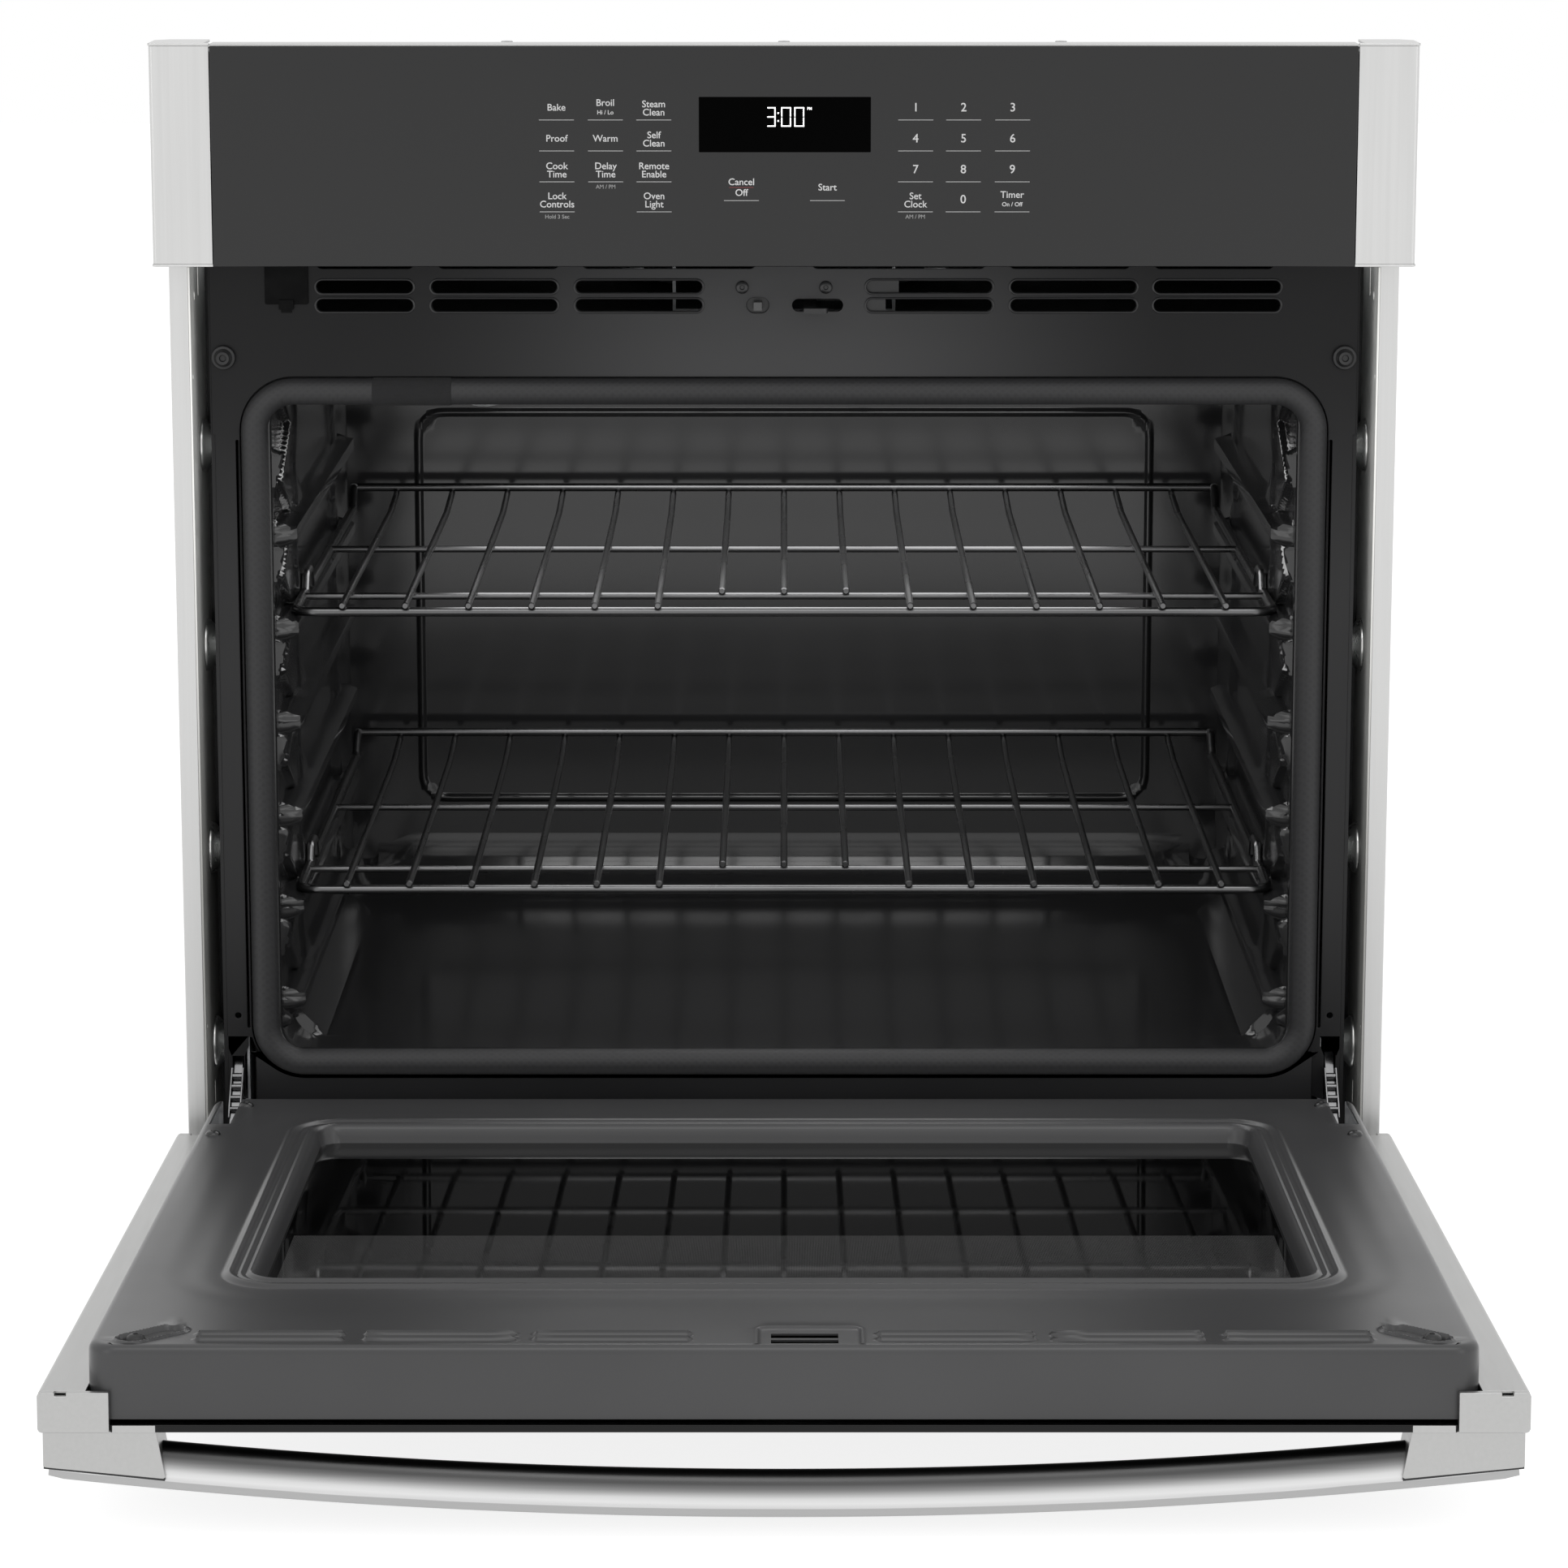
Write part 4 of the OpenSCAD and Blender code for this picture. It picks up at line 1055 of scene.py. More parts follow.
def cavity_walls():
    """Enamelled walls, floor and roof as one formed sheet, and the pressed back wall."""
    r = CAVITY_TURN
    straight = (CAVITY_LOW + r, CAVITY_TOP - r)
    marks = [(top - RIB_DROP, 7.0, 1.4) for top in RIB_TOPS]
    zs = [(z - straight[0]) / (straight[1] - straight[0])
          for z in grid_lines(*straight, 2.4, marks)]
    ys = grid_lines(44.0, BEND_Y, 10.0, [(95, 62, 2.4), (400, 24, 4), (434, 9, 2.0)])
    shapes = (CAVITY_X, CAVITY_LOW, CAVITY_TOP, r, *LIP)

    def row(y, share, push=None, inset=0.0):
        out = []
        for (x, z), (nx, nz), kind in opening_loop(share, *shapes, zs):
            move = inset if not callable(inset) else inset(nz)
            if push:
                move += push(x, z, nx, nz, kind, y)
            out.append((x + nx * move, y, z + nz * move))
        return out

    def pressing(x, z, nx, nz, kind, y):
        if kind == "side":
            return guide_height(y, z)
        if kind == "corner":
            slope = math.atan2(nz, abs(nx)) - math.pi / 4
            chord = r - r * math.cos(math.pi / 4) / math.cos(slope)
            return chord * soft((y - 84) / 6) * (1 - soft((y - 420) / 24))
        return 0.0

    outer = opening_loop(0, 334.0, 77.5, 522.0, 34.0, *LIP, zs)
    rows = [[(x, LIP_Y, z) for (x, z), _, _ in outer],
            row(LIP_Y, 1, inset=-1.6), row(19.8, 1, inset=-0.5), row(21.0, 1),
            row(22.5, 0.98, pressing)]
    rows += [row(24.0 + 1.6 * k, 1 - soft((2 + 1.6 * k) / 22), pressing) for k in range(13)]
    rows += [row(y, 0, pressing) for y in ys]
    for k in range(1, 9):
        a = math.radians(90 * k / 8)

        def reach(nz):
            return (2 + 38 * max(nz, 0) + 16 * max(-nz, 0)) * (1 - math.cos(a))

        rows.append(row(BEND_Y + (CAVITY_BACK - BEND_Y) * math.sin(a), 0, inset=reach))
    piece("cavity_liner", rows_part(rows), "oven_body", "cavity", sheet=1.0,
          replaced=("cavity_shell", "rack_guides"))

    def back_place(x, z):
        d = rect_distance(x, z, -261, 150, 261, 430, 16)
        return (x, CAVITY_BACK - 0.3 - 2.2 * ridge(d - 1.5, 6.4), z)

    xs = grid_lines(-316, 316, 14, two_sided([(262, 5, 0.6), (250, 22, 4)]))
    zs_back = grid_lines(84, 519, 14, [(149, 5, 0.6), (431, 5, 0.6), (160, 20, 4), (420, 20, 4)])
    piece("cavity_back_wall", pressed(xs, zs_back, back_place), "oven_body",
          "cavity", sheet=0.8)


# ---------------------------------------------------------------- racks

RACK_BODIES = {"rack_lower": "lower_rack", "rack_upper": "upper_rack"}
ROD_PITCH = 39.5


def rack(name):
    """Chromed wire rack: rim with raised stops and rear rail, cross wires and long rods."""
    lo, hi = RACKS[name]
    rod_r, rim_r = 2.25, 3.0
    low = lo.z + rim_r
    z = low + 4.6
    x, front, rear, lip = 307.0, 54.0, 480.0, low + 14
    half = [(x, front, low, 14), (x, 124, low, 4), (x, 131, low + 11, 4), (x, 151, low + 11, 4),
            (x, 158, low, 4), (x, 462, low, 6), (x, 476, lip, 6), (x, rear, lip, 3)]
    rim = half + [(-u, v, w, turn) for u, v, w, turn in reversed(half)]
    parts = [tube(bent_path(rim, True), rim_r, True)]
    for y in (108.0, 291.0):
        parts.append(tube([(-x, y, low + 0.5), (x, y, low + 0.5)], rod_r))
    for i in range(-7, 8):
        start = 103.0 if abs(i) < 1.5 else front - 5
        parts.append(tube([(i * ROD_PITCH, start, z), (i * ROD_PITCH, rear - 60, z),
                           (i * ROD_PITCH, rear - 1, lip - 4)], rod_r))
    piece(name + "_wires", joined(parts), RACK_BODIES[name], "wire",
          replaced=(name,))


# ---------------------------------------------------------------- hinges, side rails and trims

def hinge(side, s):
    """Hinge arm with its eye and hooked tail, and the bright links of its spring."""
    x, y0, z0 = HINGE_X, PIVOT.y, PIVOT.z
    bend = (20.0, 88.0)
    slope = math.atan2(bend[1] - z0, bend[0] - y0)
    w = 4.4
    nu, nv = -math.sin(slope) * w, math.cos(slope) * w
    eye = [(y0 + w * math.cos(slope + math.radians(a)), z0 + w * math.sin(slope + math.radians(a)))
           for a in range(90, 271, 12)]
    outline = eye + [(bend[0] - nu + 1.8, bend[1] - w), (82, bend[1] - w), (82, bend[1] + w),
                     (bend[0] + nu * 0.5, bend[1] + w)]
    arm = prism(outline, x - 2.9, x + 2.9, "X")
    piece(f"hinge_arm_{side}_bar", on_side(arm, s), "oven_body", "hinge", 0.6,
          replaced=(f"hinge_arm_{side}",))
    links = []
    for k, (y, z) in enumerate(((6.5, 77), (1.0, 71.8), (-5.0, 66.3), (-11.0, 60.8))):
        size = 2.0 - 0.15 * k
        links.append(revolve([(0, -3.6), (size - 0.5, -3.6), (size, -3.1), (size, 3.1),
                              (size - 0.5, 3.6), (0, 3.6)], (x, y - 3.2, z + 3.6), (1, 0, 0), 20))
    for off in (-3.9, 3.0):
        claw = [(10, 84), (4, 86), (-2, 79), (-14, 67), (-18, 60), (-14, 58.5), (-4, 69.5), (8, 80)]
        links.append(prism(claw, x + off, x + off + 0.9, "X"))
    piece(f"hinge_links_{side}", on_side(joined(links), s), "oven_body", "links",
          0.25)


def side_rail(side, s):
    """Mounting rail folded in to the body, with slots, screw holes and spacer domes."""
    x0, x1 = RAIL_HI.x - 1.2, RAIL_HI.x
    y0, y1, z0, z1 = RAIL_LO.y, RAIL_HI.y, RAIL_LO.z, RAIL_HI.z
    outline = rounded(y0, z0, y1, z1, 1.0, 3)
    holes = [circle_outline(18.0, z, 2.6, 24) for z in (50.0, 570.0)]
    holes += [rounded(35.6, a, 38.6, b, 1.4, 4) for a, b in ((54, 68.5), (568, 586))]
    holes += [circle_outline(4.0, z, 1.6, 16) for z in (113.0, 522.0)]
    sheet = plate_part(outline, holes, x0, x1, "X", 0.25)
    piece(f"side_rail_{side}_sheet", on_side(sheet, s), "oven_body", "rail",
          replaced=(f"side_rail_{side}",))
    # Painted shade: the rail's rear fold is coloured black so that the deep groove behind the rail
    # reads as shadow.
    painted_shade_flange = box((WRAP_HI.x + 0.05, y1 - 1.2, z0), (x1, y1, z1))
    piece(f"side_rail_{side}_fold", on_side(painted_shade_flange, s), "oven_body", "plastic",
          0.3)
    domes = []
    for z in (92.0, 218.0, 348.0, 474.0):
        profile = [(16.6, 0), (16.0, 0.5)]
        profile += [(9.0 + 7.2 * (1 - soft(k / 10)), 0.5 + 8.6 * k / 10) for k in range(1, 10)]
        profile += [(8.2, 9.3), (6.5, 9.55), (0, 9.55)]
        domes.append(revolve(profile, (x0, 45.0, z), (-1, 0, 0), 48))
    piece(f"side_rail_{side}_domes", on_side(joined(domes), s), "oven_body", "dome")


def side_trim(side, s):
    part = box(TRIM_LO, TRIM_HI)
    piece(f"side_trim_{side}_strip", on_side(part, s), "oven_body", "steel_z", 0.5,
          replaced=(f"side_trim_{side}",))


def lower_trim():
    x = LOWER_HI.x
    path = [(-2.2, LOWER_HI.z), (-2.2, 2.4), (FRAME_Y, 2.4)]
    part = prism(bent_sheet(path, 1.4, 1.5), -x, x, "X")
    piece("bottom_trim_fold", part, "oven_body", "enamel", 0.3,
          replaced=("bottom_trim",))


# ---------------------------------------------------------------- outer body

def body_wrap():
    """Sides and top folded from one sheet, with pressed beads."""
    x, top, low = WRAP_HI.x, WRAP_HI.z, WRAP_LO.z
    y0, y1 = WRAP_LO.y, WRAP_HI.y
    r = 4.0
    levels = (130.0, 300.0, 470.0, 620.0)
    side_zs = grid_lines(low, top - r, 30, [(z, 8, 1.6) for z in levels])
    top_xs = grid_lines(-x + r, x - r, 40, two_sided([(250, 9, 1.8)]))
    path = [((-x, z), (1, 0), "side") for z in side_zs]
    for k in range(1, 6):
        a = math.radians(180 - 15 * k)
        path.append(((-x + r + r * math.cos(a), top - r + r * math.sin(a)), (0, -1), "bend"))
    path += [((u, top), (0, -1), "top") for u in top_xs]
    path += [((-u, v), (-n[0], n[1]), kind) for (u, v), n, kind in reversed(path[:len(side_zs) + 5])]
    ys = grid_lines(y0, y1, 30, [(70, 8, 2.0), (530, 8, 2.0), (120, 9, 1.8), (520, 9, 1.8)])
    rows = []
    for y in ys:
        row = []
        for (u, v), (nu, nv), kind in path:
            h = 0.0
            if kind == "side":
                h = max(2.0 * ridge(line_distance(y, v, 76, 524, z), 13) for z in levels)
            elif kind == "top":
                h = 2.0 * ridge(rect_distance(u, y, -250, 120, 250, 520, 22), 13)
            row.append((u + nu * h, y, v + nv * h))
        rows.append(row)
    piece("body_wrap_sheet", rows_part(rows, False), "oven_body", "zinc", sheet=1.2,
          replaced=("body_wrap",))


def back_panel():
    """Back sheet with vent slots and a pressed frame."""
    x, y, z0, z1 = BACK_HI.x, BACK_HI.y, BACK_LO.z, BACK_HI.z
    slots = [-110 + 20 * i for i in range(12)]
    slot_wide, slot_low, slot_high, hole_half = 8, 560, 620, 12.5

    def put(u, v):
        d = rect_distance(u, v, -300, 60, 300, 500, 24)
        return (u, y - 2.0 * ridge(d, 14) - 1.6 * ridge(rect_distance(u, v, -120, 550, 128, 630, 8), 9),
                v)

    def keep(u, v):
        vents = slot_low < v < slot_high and any(a < u < a + slot_wide for a in slots)
        hole = max(abs(u - CONDUIT.x), abs(v - CONDUIT.z)) < hole_half
        return not vents and not hole

    edges = [(a + b, 1, 2) for a in slots for b in (0, slot_wide)]
    xs = grid_lines(-x, x, 24, sorted(two_sided([(300, 9, 1.8), (276, 24, 6)])
                                      + edges + [(-120, 5, 1.5), (128, 5, 1.5),
                                                 (277.5, 1, 2), (302.5, 1, 2)]))
    zs = grid_lines(z0, z1, 24, [(60, 9, 1.8), (84, 24, 6), (500, 9, 1.8), (476, 24, 6),
                                 (550, 5, 1.5), (slot_low, 1, 2), (slot_high, 1, 2), (630, 5, 1.5),
                                 (CONDUIT.z - hole_half, 1, 2), (CONDUIT.z + hole_half, 1, 2)])
    piece("back_panel_sheet", pressed(xs, zs, put, keep), "oven_body", "zinc",
          sheet=1.2, replaced=("chassis_back",))


def hex_screw(centre, axis):
    """Hex head with a washer face and a small dimple."""
    return joined([revolve([(5.6, -0.2), (5.6, 0.5), (5.0, 0.8), (0, 0.8)], centre, axis, 24),
                   revolve([(4.3, 0.7), (4.3, 2.5), (3.7, 3.0), (1.8, 3.0), (1.2, 2.4), (0, 2.4)],
                           centre, axis, 6)])


def body_screws():
    heads = []
    for z in (30.0, 190.0, 350.0, 520.0, BACK_HI.z - 14):
        heads += [hex_screw((s * 338.0, BACK_HI.y, z), (0, 1, 0)) for s in (-1, 1)]
        heads += [hex_screw((s * WRAP_HI.x, 572.0, z), (s, 0, 0)) for s in (-1, 1)]
        heads += [hex_screw((s * WRAP_HI.x, 90.0, z), (s, 0, 0)) for s in (-1, 1)]
    for x in (-200.0, 0.0, 200.0):
        heads.append(hex_screw((x, BACK_HI.y, BACK_HI.z - 14), (0, 1, 0)))
        heads.append(hex_screw((x, 572.0, WRAP_HI.z), (0, 0, 1)))
    piece("body_screw_heads", joined(heads), "oven_body", "plated")


def conduit():
    """Threaded conduit connector with a lobed lock nut."""
    x, z, y = CONDUIT.x, CONDUIT.z, BACK_HI.y
    profile = [(11.0, -12.0), (13.9, -12.0), (13.9, 0.4)]
    profile += [(13.9 if k % 2 else 12.9, 5.2 + 0.75 * k) for k in range(11)]
    profile += [(13.0, 13.9), (11.0, 13.9), (11.0, -12.0)]
    body = revolve(profile, (x, y, z), (0, 1, 0), 40)
    lobes = []
    for k in range(72):
        a = 2 * math.pi * k / 72
        reach = 18.6 if math.cos(8 * a) > 0 else 16.6
        lobes.append((x + reach * math.cos(a), z + reach * math.sin(a)))
    nut = plate_part(lobes, [circle_outline(x, z, 12.6, 40)], y + 0.2, y + 4.6, "Y", 0.4)
    piece("conduit_connector", joined([body, nut]), "oven_body", "plated",
          replaced=("conduit_fitting",))


# ---------------------------------------------------------------- door inner panel

PANE_DROP = 9.0
LOUVRES = ((47, 128), (136, 214), (224, 300))
LOUVRE_Z = (561.6, 571.2)
LATCH_RECESS = (-13.0, 548.5, 39.0, 581.5)
LATCH_SLOTS = ((-6.7, 557.8, 27.8, 566.2), (-6.7, 569.4, 27.8, 576.2))
PLUG = (323.0, 562.0)
PLUG_TURN = math.radians(-42)
PLUG_HALF = 12.0
PLUG_WIDE = 6.6
DOOR_SCREWS = ((331.7, 50.8), (343.5, 126.0))


def plug_distance(x, z):
    """Distance from the middle line of the slanting oval recess."""
    dx, dz = abs(x) - PLUG[0], z - PLUG[1]
    along = dx * math.cos(PLUG_TURN) - dz * math.sin(PLUG_TURN)
    across = dx * math.sin(PLUG_TURN) + dz * math.cos(PLUG_TURN)
    return math.hypot(max(abs(along) - PLUG_HALF, 0), across)


def liner_height(x, z):
    """How far the door's inner panel stands out of its main plane."""
    h = 0.0
    # three steps round the window and the drop to its pane
    d = rect_distance(x, z, *WINDOW, WINDOW_TURN)
    if d < 24:
        h += 2.4 * ridge(d - 15.5, 8.5) + 1.0 * ridge(d - 9.5, 5) + 2.1 * ridge(d - 4.2, 7)
        h -= (PANE_DROP + 1.4) * soft((1.2 - d) / 3.4)
    h -= 0.2 * ridge(d - 40, 26)
    for x0, x1 in LOUVRES:
        for level in LOUVRE_Z:
            e = line_distance(abs(x), z, x0 + 3, x1 - 3, level)
            if e < 4.2:
                h += 1.9 * ridge(e - 2.0, 2.8) - 1.2 * (1 - soft((e - 0.2) / 1.2))
    # the latch's recess, the plugs' ovals and the rims of the hinge slots
    e = rect_distance(x, z, *LATCH_RECESS, 4)
    h += 0.5 * ridge(e - 1.2, 3.6) - 0.6 * soft((0.5 - e) / 2.0)
    e = plug_distance(x, z) - PLUG_WIDE
    h += 1.3 * ridge(e - 1.4, 4) - 3.6 * soft((0.4 - e) / 2.2)
    e = rect_distance(abs(x), z, HINGE_SLOT[0], 0, HINGE_SLOT[1], SLOT_TOP, 0.5)
    h += 0.8 * ridge(e - 2.5, 6)
    return h


def liner_keep(x, z):
    """False where the panel is cut away."""
    if HINGE_SLOT[0] < abs(x) < HINGE_SLOT[1] and z < SLOT_TOP:
        return False
    if rect_distance(x, z, *WINDOW, WINDOW_TURN) < -4.0:
        return False
    return not any(x0 < x < x1 and z0 < z < z1 for x0, z0, x1, z1 in LATCH_SLOTS)


def rim_places(xs, zs, x_edge, z_low, z_high, corner):
    """Points round the face's edge, each with the outer wall's base point and direction."""
    cx, z0, z1 = LINER_X - corner, LINER_LOW + corner, LINER_TOP - corner
    places = [((x, z_low), (max(-cx, min(cx, x)), z0), (0, -1)) for x in xs]
    sides = (((x_edge, z_low), (cx, z0), -90), ((x_edge, z_high), (cx, z1), 0),
             ((-x_edge, z_high), (-cx, z1), 90), ((-x_edge, z_low), (-cx, z0), 180))
    runs = ([((x_edge, z), (cx, max(z0, min(z1, z))), (1, 0)) for z in zs],
            [((x, z_high), (max(-cx, min(cx, x)), z1), (0, 1)) for x in reversed(xs)],
            [((-x_edge, z), (-cx, max(z0, min(z1, z))), (-1, 0)) for z in reversed(zs)], [])
    for (point, base, start), run in zip(sides, runs):
        turns = [math.radians(start + 10 * k) for k in range(1, 9)]
        places += [(point, base, (math.cos(a), math.sin(a))) for a in turns] + run
    return places


def door_panel():
    """Pressed and enamelled inner panel: a fine face and a rolled rim with its side walls."""
    rim, roll, deep, corner = 12.0, 4.5, 38.0, 14.0
    x_edge = LINER_X - rim
    z_low, z_high = LINER_LOW + rim, LINER_TOP - roll
    xs = grid_lines(-x_edge, x_edge, 9, two_sided(
        [(x_edge, 1, 3), (HINGE_SLOT[0], 4, 1.5), (PLUG[0], 30, 1.6), (289, 22, 1.1),
         (131, 5, 1.2), (219, 7, 1.2), (50, 5, 1.2), (39, 3, 1), (27.8, 2, 1), (13, 3, 1),
         (6.7, 2, 1)]))
    zs = grid_lines(z_low, z_high, 9, [
        (SLOT_TOP, 5, 1.5), (96, 26, 1.2), (466, 24, 1.0), (z_high, 1, 1.2), (563, 16, 0.8)])
    xs = sorted(set(xs) | {s * u for s in (-1, 1) for u in HINGE_SLOT if u < x_edge})
    face = pressed(xs, zs, lambda x, z: (x, DOOR_BACK + liner_height(x, z), z), liner_keep)

    places = rim_places(xs, zs, x_edge, z_low, z_high, corner)
    profile = [(corner - roll, 0.0)]
    for k in range(1, 7):
        a = math.radians(15 * k)
        profile.append((corner - roll + roll * math.sin(a), -roll * (1 - math.cos(a))))
    profile += [(corner, -deep * 0.5), (corner, -deep)]
    rows = [[(x, DOOR_BACK + liner_height(x, z), z) for (x, z), _, _ in places]]
    rows += [[(bx + dx * out, DOOR_BACK + down, bz + dz * out) for _, (bx, bz), (dx, dz) in places]
             for out, down in profile]
    verts, faces = rows_part(rows)

    def solid(face_points):
        inside = [HINGE_SLOT[0] < abs(verts[i][0]) < HINGE_SLOT[1] + 2 for i in face_points]
        edge = [HINGE_SLOT[0] - 0.1 < abs(verts[i][0]) for i in face_points]
        low = all(verts[i][2] < z_low + 0.1 and abs(verts[i][0]) < LINER_X - 3 for i in face_points)
        beside = all(verts[i][2] < SLOT_TOP + 0.1 and abs(verts[i][0]) < LINER_X - corner + 9.6
                     for i in face_points)
        return not (all(edge) and (beside or low and any(inside)))

    rim_part = (verts, [f for f in faces if solid(f)])
    obj = make_object("door_inner_panel", joined([face, rim_part]), SWING)
    finish_piece(obj, "door", "liner", ("door_liner",), sheet=1.0)


# ---------------------------------------------------------------- door glass and trims

TRIM_BACK = -21.0


def door_glass():
    x0, z0, x1, z1 = WINDOW
    pane = plate_part(rounded(x0 - 6, z0 - 6, x1 + 6, z1 + 6, 14, 6), [], PANE_LEVEL - 4,
                      PANE_LEVEL, "Y", 0.5)
    piece("inner_pane", pane, "door", "window", pose=SWING,
          replaced=("inner_glass",))
    outer = box((GLASS_LO.x, DOOR_FRONT, DOOR_LOW + 0.2), (GLASS_HI.x, DOOR_FRONT + 4, DOOR_TOP - 1))
    piece("outer_glass_panel", outer, "door", "glass", 0.7, SWING,
          ("outer_glass",))


def door_side(side, s):
    """Makes the folded trim down one edge of the door, and returns its end caps as a part."""
    x0, x1 = CAP_LO.x, CAP_HI.x
    low, high = DOOR_LOW + 5, LINER_TOP + 0.1
    middle = TRIM_BACK - 0.75
    path = [(x0 + 0.1, DOOR_FRONT + 0.75), (x1 - 0.75, DOOR_FRONT + 0.75), (x1 - 0.75, middle),
            (LINER_X, middle)]
    part = prism(bent_sheet(path, 1.5, 1.4), low, high, "Z")
    piece(f"door_trim_{side}_fold", on_side(part, s), "door", "steel_door", 0.3,
          SWING, (f"door_trim_{side}",))
    rim = [(x0 + 0.1, DOOR_FRONT), (x1 - 2, DOOR_FRONT), (x1 - 0.6, DOOR_FRONT + 0.6),
           (x1, DOOR_FRONT + 2), (x1, TRIM_BACK - 2), (x1 - 0.6, TRIM_BACK - 0.6),
           (x1 - 2, TRIM_BACK), (x1 - 9, TRIM_BACK), (x1 - 9, TRIM_BACK - 2),
           (x1 - 14.7, TRIM_BACK - 2), (x1 - 14.7, TRIM_BACK)]
    upper = prism(rim + [(x0 + 0.1, TRIM_BACK)], high, DOOR_TOP - 0.2, "Z")
    corner = [(x0 + 12.5, TRIM_BACK), (x0 + 12.5, DOOR_FRONT + 4), (x0 + 0.1, DOOR_FRONT + 4)]
    lower = prism(rim + corner, DOOR_LOW + 0.1, low, "Z")
    return on_side(joined([upper, lower]), s)


def door_fittings():
    """End caps, slanted plugs and dome screws on the door."""
    caps = joined([door_side(side, s) for side, s in SIDES])
    piece("door_cap_set", caps, "door", "steel_y", 0.7, SWING,
          ("door_end_caps",))

    plugs = []
    turn = Matrix.Rotation(PLUG_TURN, 4, "Y")
    for _, s in SIDES:
        tongue = rounded(-15.5, -4.6, 9, 4.6, 4.4, 6)
        flat = plate_part(tongue, [], DOOR_BACK - 3.4, DOOR_BACK - 0.9, "Y", 0.6)
        slanted = [turn @ v for v in map(Vector, flat[0])]
        placed = [(v.x + PLUG[0], v.y, v.z + PLUG[1]) for v in slanted]
        plugs.append(on_side((placed, flat[1]), s))
        dome = [(5.4, 0), (5.2, 1.4), (4.4, 2.9), (3.0, 3.9), (1.4, 4.3), (1.2, 3.2), (0, 3.2)]
        reach = 9.5
        at = (PLUG[0] + reach * math.cos(PLUG_TURN), DOOR_BACK - 2.0,
              PLUG[1] - reach * math.sin(PLUG_TURN))
        plugs.append(on_side(revolve(dome, at, (0, 1, 0), 32), s))
    piece("door_plug_set", joined(plugs), "door", "rubber", pose=SWING,
          replaced=("door_plugs",))

    heads = []
    for x, z in DOOR_SCREWS:
        profile = [(4.6, -0.2), (4.5, 0.5), (3.8, 1.6), (2.6, 2.3), (1.5, 2.45), (1.1, 1.4),
                   (0, 1.4)]
        heads.append(revolve(profile, (x, DOOR_BACK, z), (0, 1, 0), 32))
    piece("door_screw_heads", both(joined(heads)), "door", "screw", pose=SWING,
          replaced=("door_screws",))


# ---------------------------------------------------------------- handle

HANDLE_BOW = 3350.0
HANDLE_END = 374.0
HANDLE_REACH = -88.0
BAR_DEEP, BAR_HALF = 22.0, 10.8
MOUNT_LOW, MOUNT_HIGH = 558.0, 584.0


def bow(x):
    """How far the handle bar curves back at x from the middle."""
    return HANDLE_BOW - math.sqrt(HANDLE_BOW ** 2 - x * x)


def handle_steel_painted_shading(name):
    """Brushed bar whose colour carries painted light and shade across its section: a grey front strip,
    a painted highlight band on its side and painted shade darkening over its back.
    """
    m = brushed(name, (0.8, 0.8, 0.795), "X", 0.3, 0.02)
    place = axes(m)
    front = (SWING @ Vector((0, HANDLE_REACH, HANDLE_Z))).z * MM
    bend = math_node(m, "MULTIPLY", math_node(m, "POWER", place["X"], 2),
                     0.5 / (HANDLE_BOW * MM))
    back = math_node(m, "SUBTRACT", math_node(m, "SUBTRACT", place["Z"], front), bend)
    share = math_node(m, "DIVIDE", back, BAR_DEEP * MM)
    grain = math_node(m, "MULTIPLY", noise(m, 1.0, 3, (5, 300, 300)), 0.05)
    # Painted light and shade: these tones across the bar paint a highlight band on its side and shade
    # over the back that faces the door.
    painted_shading_ramp = add(m, "ShaderNodeValToRGB")
    painted_shading_tones = ((0.0, 0.4), (0.235, 0.4), (0.255, 0.64), (0.36, 0.74), (0.47, 0.66), (0.56, 0.45),
             (0.63, 0.28), (0.7, 0.17), (0.78, 0.09), (1.0, 0.05))
    for k, (at, tone) in enumerate(painted_shading_tones):
        stop = painted_shading_ramp.color_ramp.elements[k] if k < 2 else painted_shading_ramp.color_ramp.elements.new(at)
        stop.position = at
        stop.color = (tone, tone, tone, 1)
    link(m, math_node(m, "ADD", share, grain), painted_shading_ramp.inputs["Fac"])
    link(m, painted_shading_ramp.outputs["Color"], shader(m)["Base Color"])
    return m


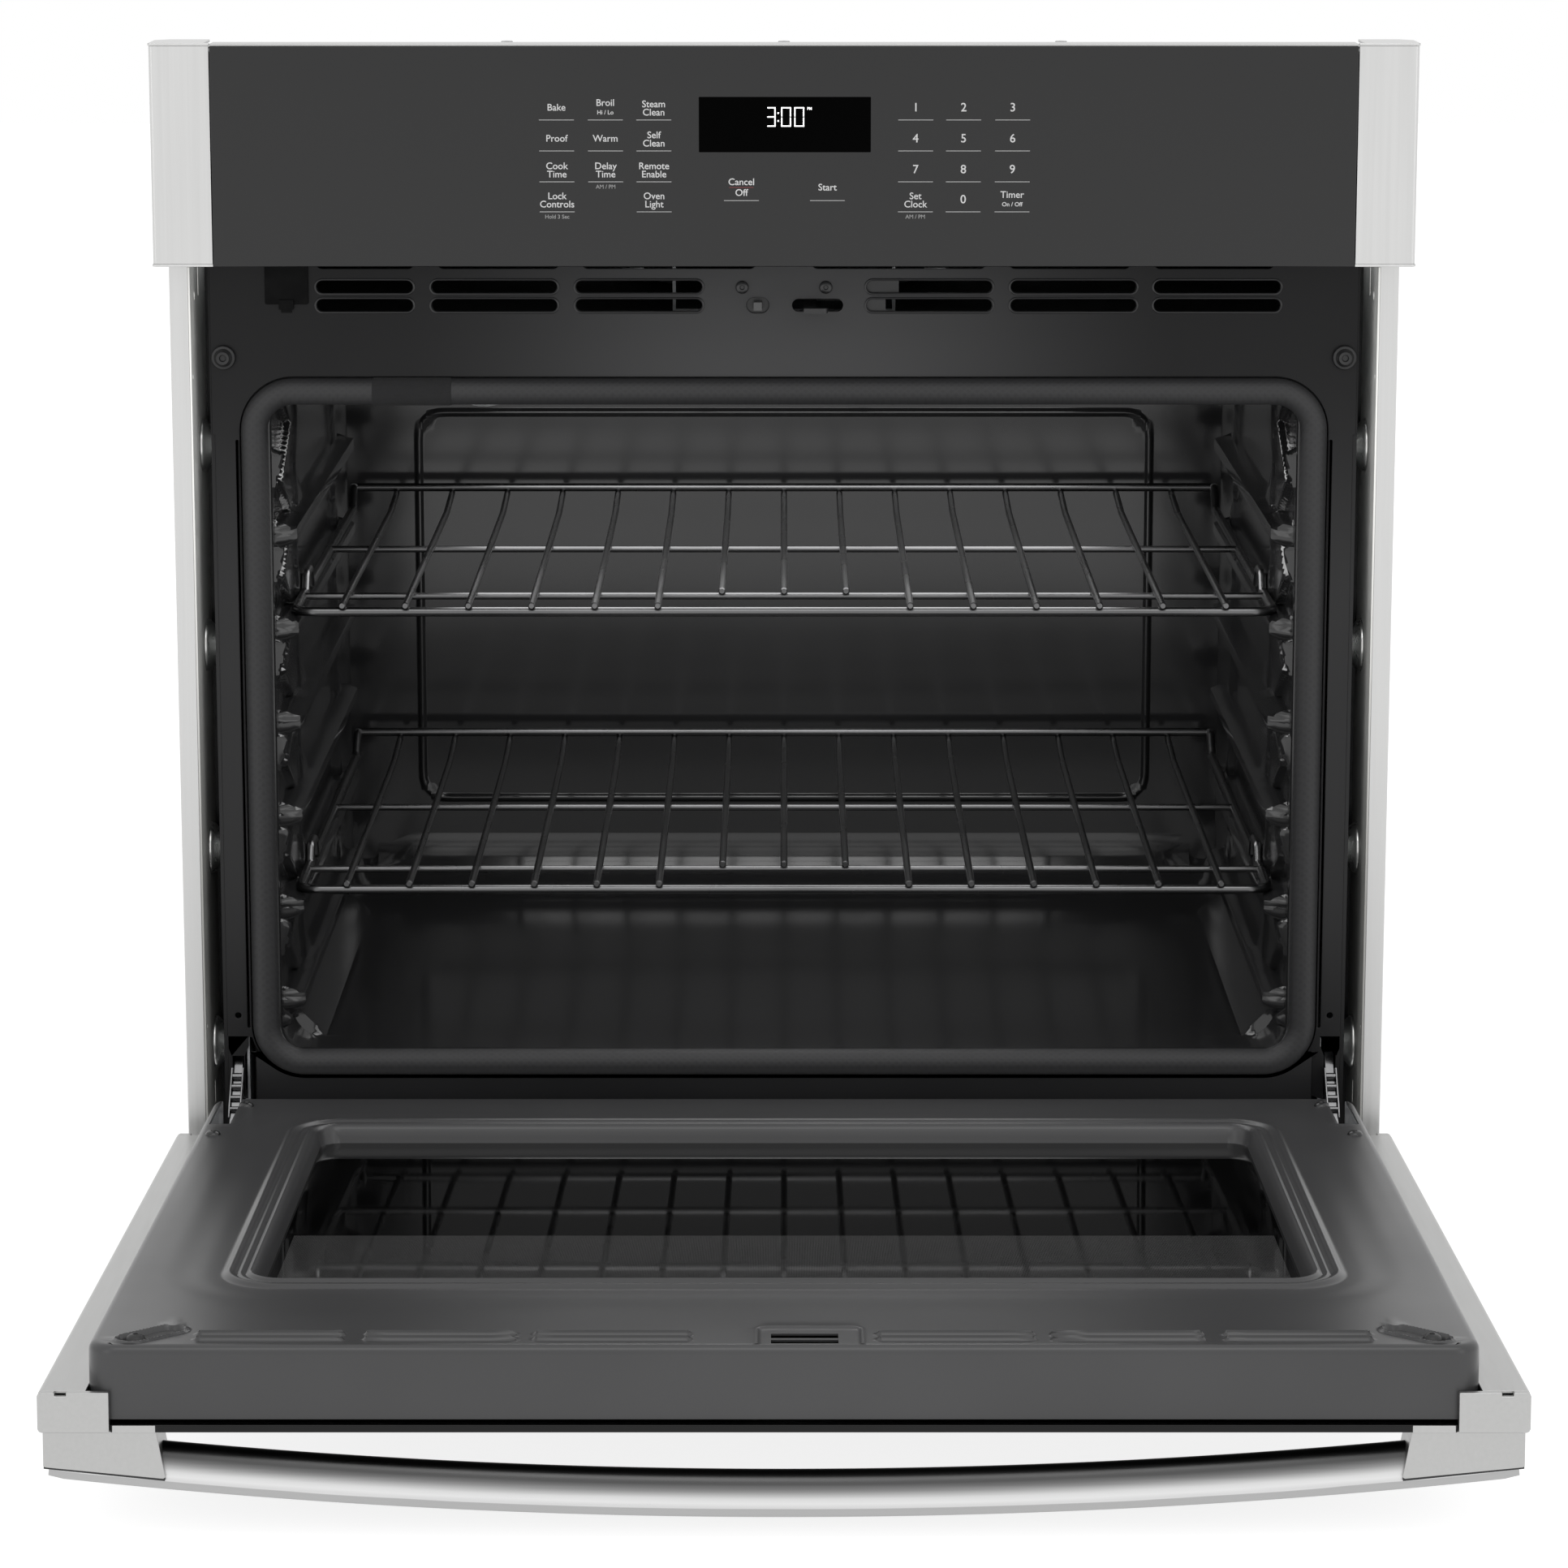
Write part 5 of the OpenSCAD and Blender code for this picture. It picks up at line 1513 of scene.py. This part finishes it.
def handle_bar():
    """Bowed bar: a flat strip along its front and a half-round back."""
    flat, nose = 5.0, 0.9
    section = [(nose * (1 - math.cos(a)), BAR_HALF - nose * (1 - math.sin(a)))
               for a in (math.radians(18 * k) for k in range(6))]
    section += [(flat - 0.5, BAR_HALF), (flat, BAR_HALF - 0.35)]
    steps = 16
    for k in range(1, steps):
        a = math.radians(180 * k / steps)
        section.append((flat + (BAR_DEEP - flat) * math.sin(a), (BAR_HALF - 0.5) * math.cos(a)))
    section += [(flat, -BAR_HALF + 0.35), (flat - 0.5, -BAR_HALF)]
    section += [(a, -v) for a, v in reversed(section[:6])]
    rows = []
    stops = [-HANDLE_END + 2 * HANDLE_END * k / 96 for k in range(97)]
    for x in stops:
        inset = 0.8 if abs(x) == HANDLE_END else 0.0
        here = max(-HANDLE_END + 0.8, min(HANDLE_END - 0.8, x)) if not inset else x
        slope = math.asin(here / HANDLE_BOW)
        row = []
        for a, v in section:
            a = a + inset * (1 - 2 * a / BAR_DEEP)
            v = v * (1 - inset / BAR_HALF)
            row.append((here - a * math.sin(slope), HANDLE_REACH + bow(here) + a * math.cos(slope),
                        HANDLE_Z + v))
        rows.append(row)
    verts, faces = rows_part(rows)
    n = len(section)
    faces += [tuple(range(n)), tuple(range(len(verts) - n, len(verts)))]
    MAT["handle"] = handle_steel_painted_shading("handle_steel_painted_shading")
    obj = make_object("handle_bar_bowed", (verts, faces), SWING)
    finish_piece(obj, "door", "handle", ("handle_bar",))


def handle_mount(side, s):
    """Block between the door and the bar, with its tab on the glass."""
    a, b, gap = 313.9, 376.0, 5.9
    front = HANDLE_REACH + gap
    outline = [(318.4, DOOR_FRONT + 0.1), (b, DOOR_FRONT + 0.1), (b, front + bow(b)),
               (b - 1, front + bow(b) - 0.4), (a + 1, front + bow(a)), (a, front + bow(a) + 1)]
    block = prism(outline, MOUNT_LOW, MOUNT_HIGH, "Z")
    tab = plate_part(rounded(318.2, 580.6, 340.4, 587.4, 0.9, 3), [], DOOR_FRONT - 0.1,
                     DOOR_FRONT + 3.8, "Y", 0.3)
    back = HANDLE_REACH + 5.05
    shim = [(a + 0.4, back + bow(a)), (b - 0.3, back + bow(b)), (b - 0.3, front + bow(b) + 0.2),
            (a + 0.4, front + bow(a) + 0.2)]
    piece(f"handle_mount_{side}_shim",
          on_side(prism(shim, MOUNT_LOW + 1, MOUNT_HIGH - 0.15, "Z"), s), "door",
          "rubber", 0.0, SWING)
    piece(f"handle_mount_{side}_block", on_side(joined([block, tab]), s), "door",
          "steel_y", 0.7, SWING, (f"handle_mount_{side}",))


# ---------------------------------------------------------------- stage and light

def area_light(name, place, aim, size, power):
    data = bpy.data.lights.new(name, "AREA")
    data.shape = "RECTANGLE"
    data.size, data.size_y = size
    data.energy = power
    obj = bpy.data.objects.new(name, data)
    obj.location = place
    obj.rotation_euler = (Vector(aim) - Vector(place)).to_track_quat("-Z", "Y").to_euler()
    bpy.context.collection.objects.link(obj)


def stage():
    wide = 9000.0
    floor = make_object("floor", ([(-wide, -wide, -1), (wide, -wide, -1), (wide, wide, -1),
                                   (-wide, wide, -1)], [(0, 1, 2, 3)]))
    pale = material("pale_floor", (0.3, 0.3, 0.3), rough=0.95, Specular_IOR_Level=0.0,
                    Emission_Color=(1, 1, 1, 1), Emission_Strength=0.85)
    tint(pale, noise(pale, 3, 3), (0.29, 0.29, 0.29), (0.31, 0.31, 0.31))
    floor.data.materials.append(pale)
    world = bpy.data.worlds.new("studio")
    world.use_nodes = True
    background = world.node_tree.nodes["Background"].inputs
    background["Color"].default_value = (1, 1, 1, 1)
    background["Strength"].default_value = 1.0
    bpy.context.scene.world = world
    area_light("key_top", (0.2, -1.6, 2.7), (0, -0.1, 0.3), (2.2, 1.2), 14)
    area_light("front_left", (-1.9, -2.6, 1.3), (0, 0, 0.4), (0.9, 1.8), 5)
    area_light("front_right", (1.9, -2.6, 1.3), (0, 0, 0.4), (0.9, 1.8), 5)
    area_light("cavity_glow", (0, 0.22, 0.497), (0, 0.24, 0.1), (0.44, 0.3), 1.4)


# ---------------------------------------------------------------- the whole oven

control_panel()
panel_print()
front_frame()
vent_rims()
frame_fittings()
seal()
cavity_walls()
for rack_name in RACKS:
    rack(rack_name)
for side_name, way in SIDES:
    hinge(side_name, way)
    side_rail(side_name, way)
    side_trim(side_name, way)
    handle_mount(side_name, way)
lower_trim()
body_wrap()
back_panel()
body_screws()
conduit()
door_panel()
door_glass()
door_fittings()
handle_bar()
stage()
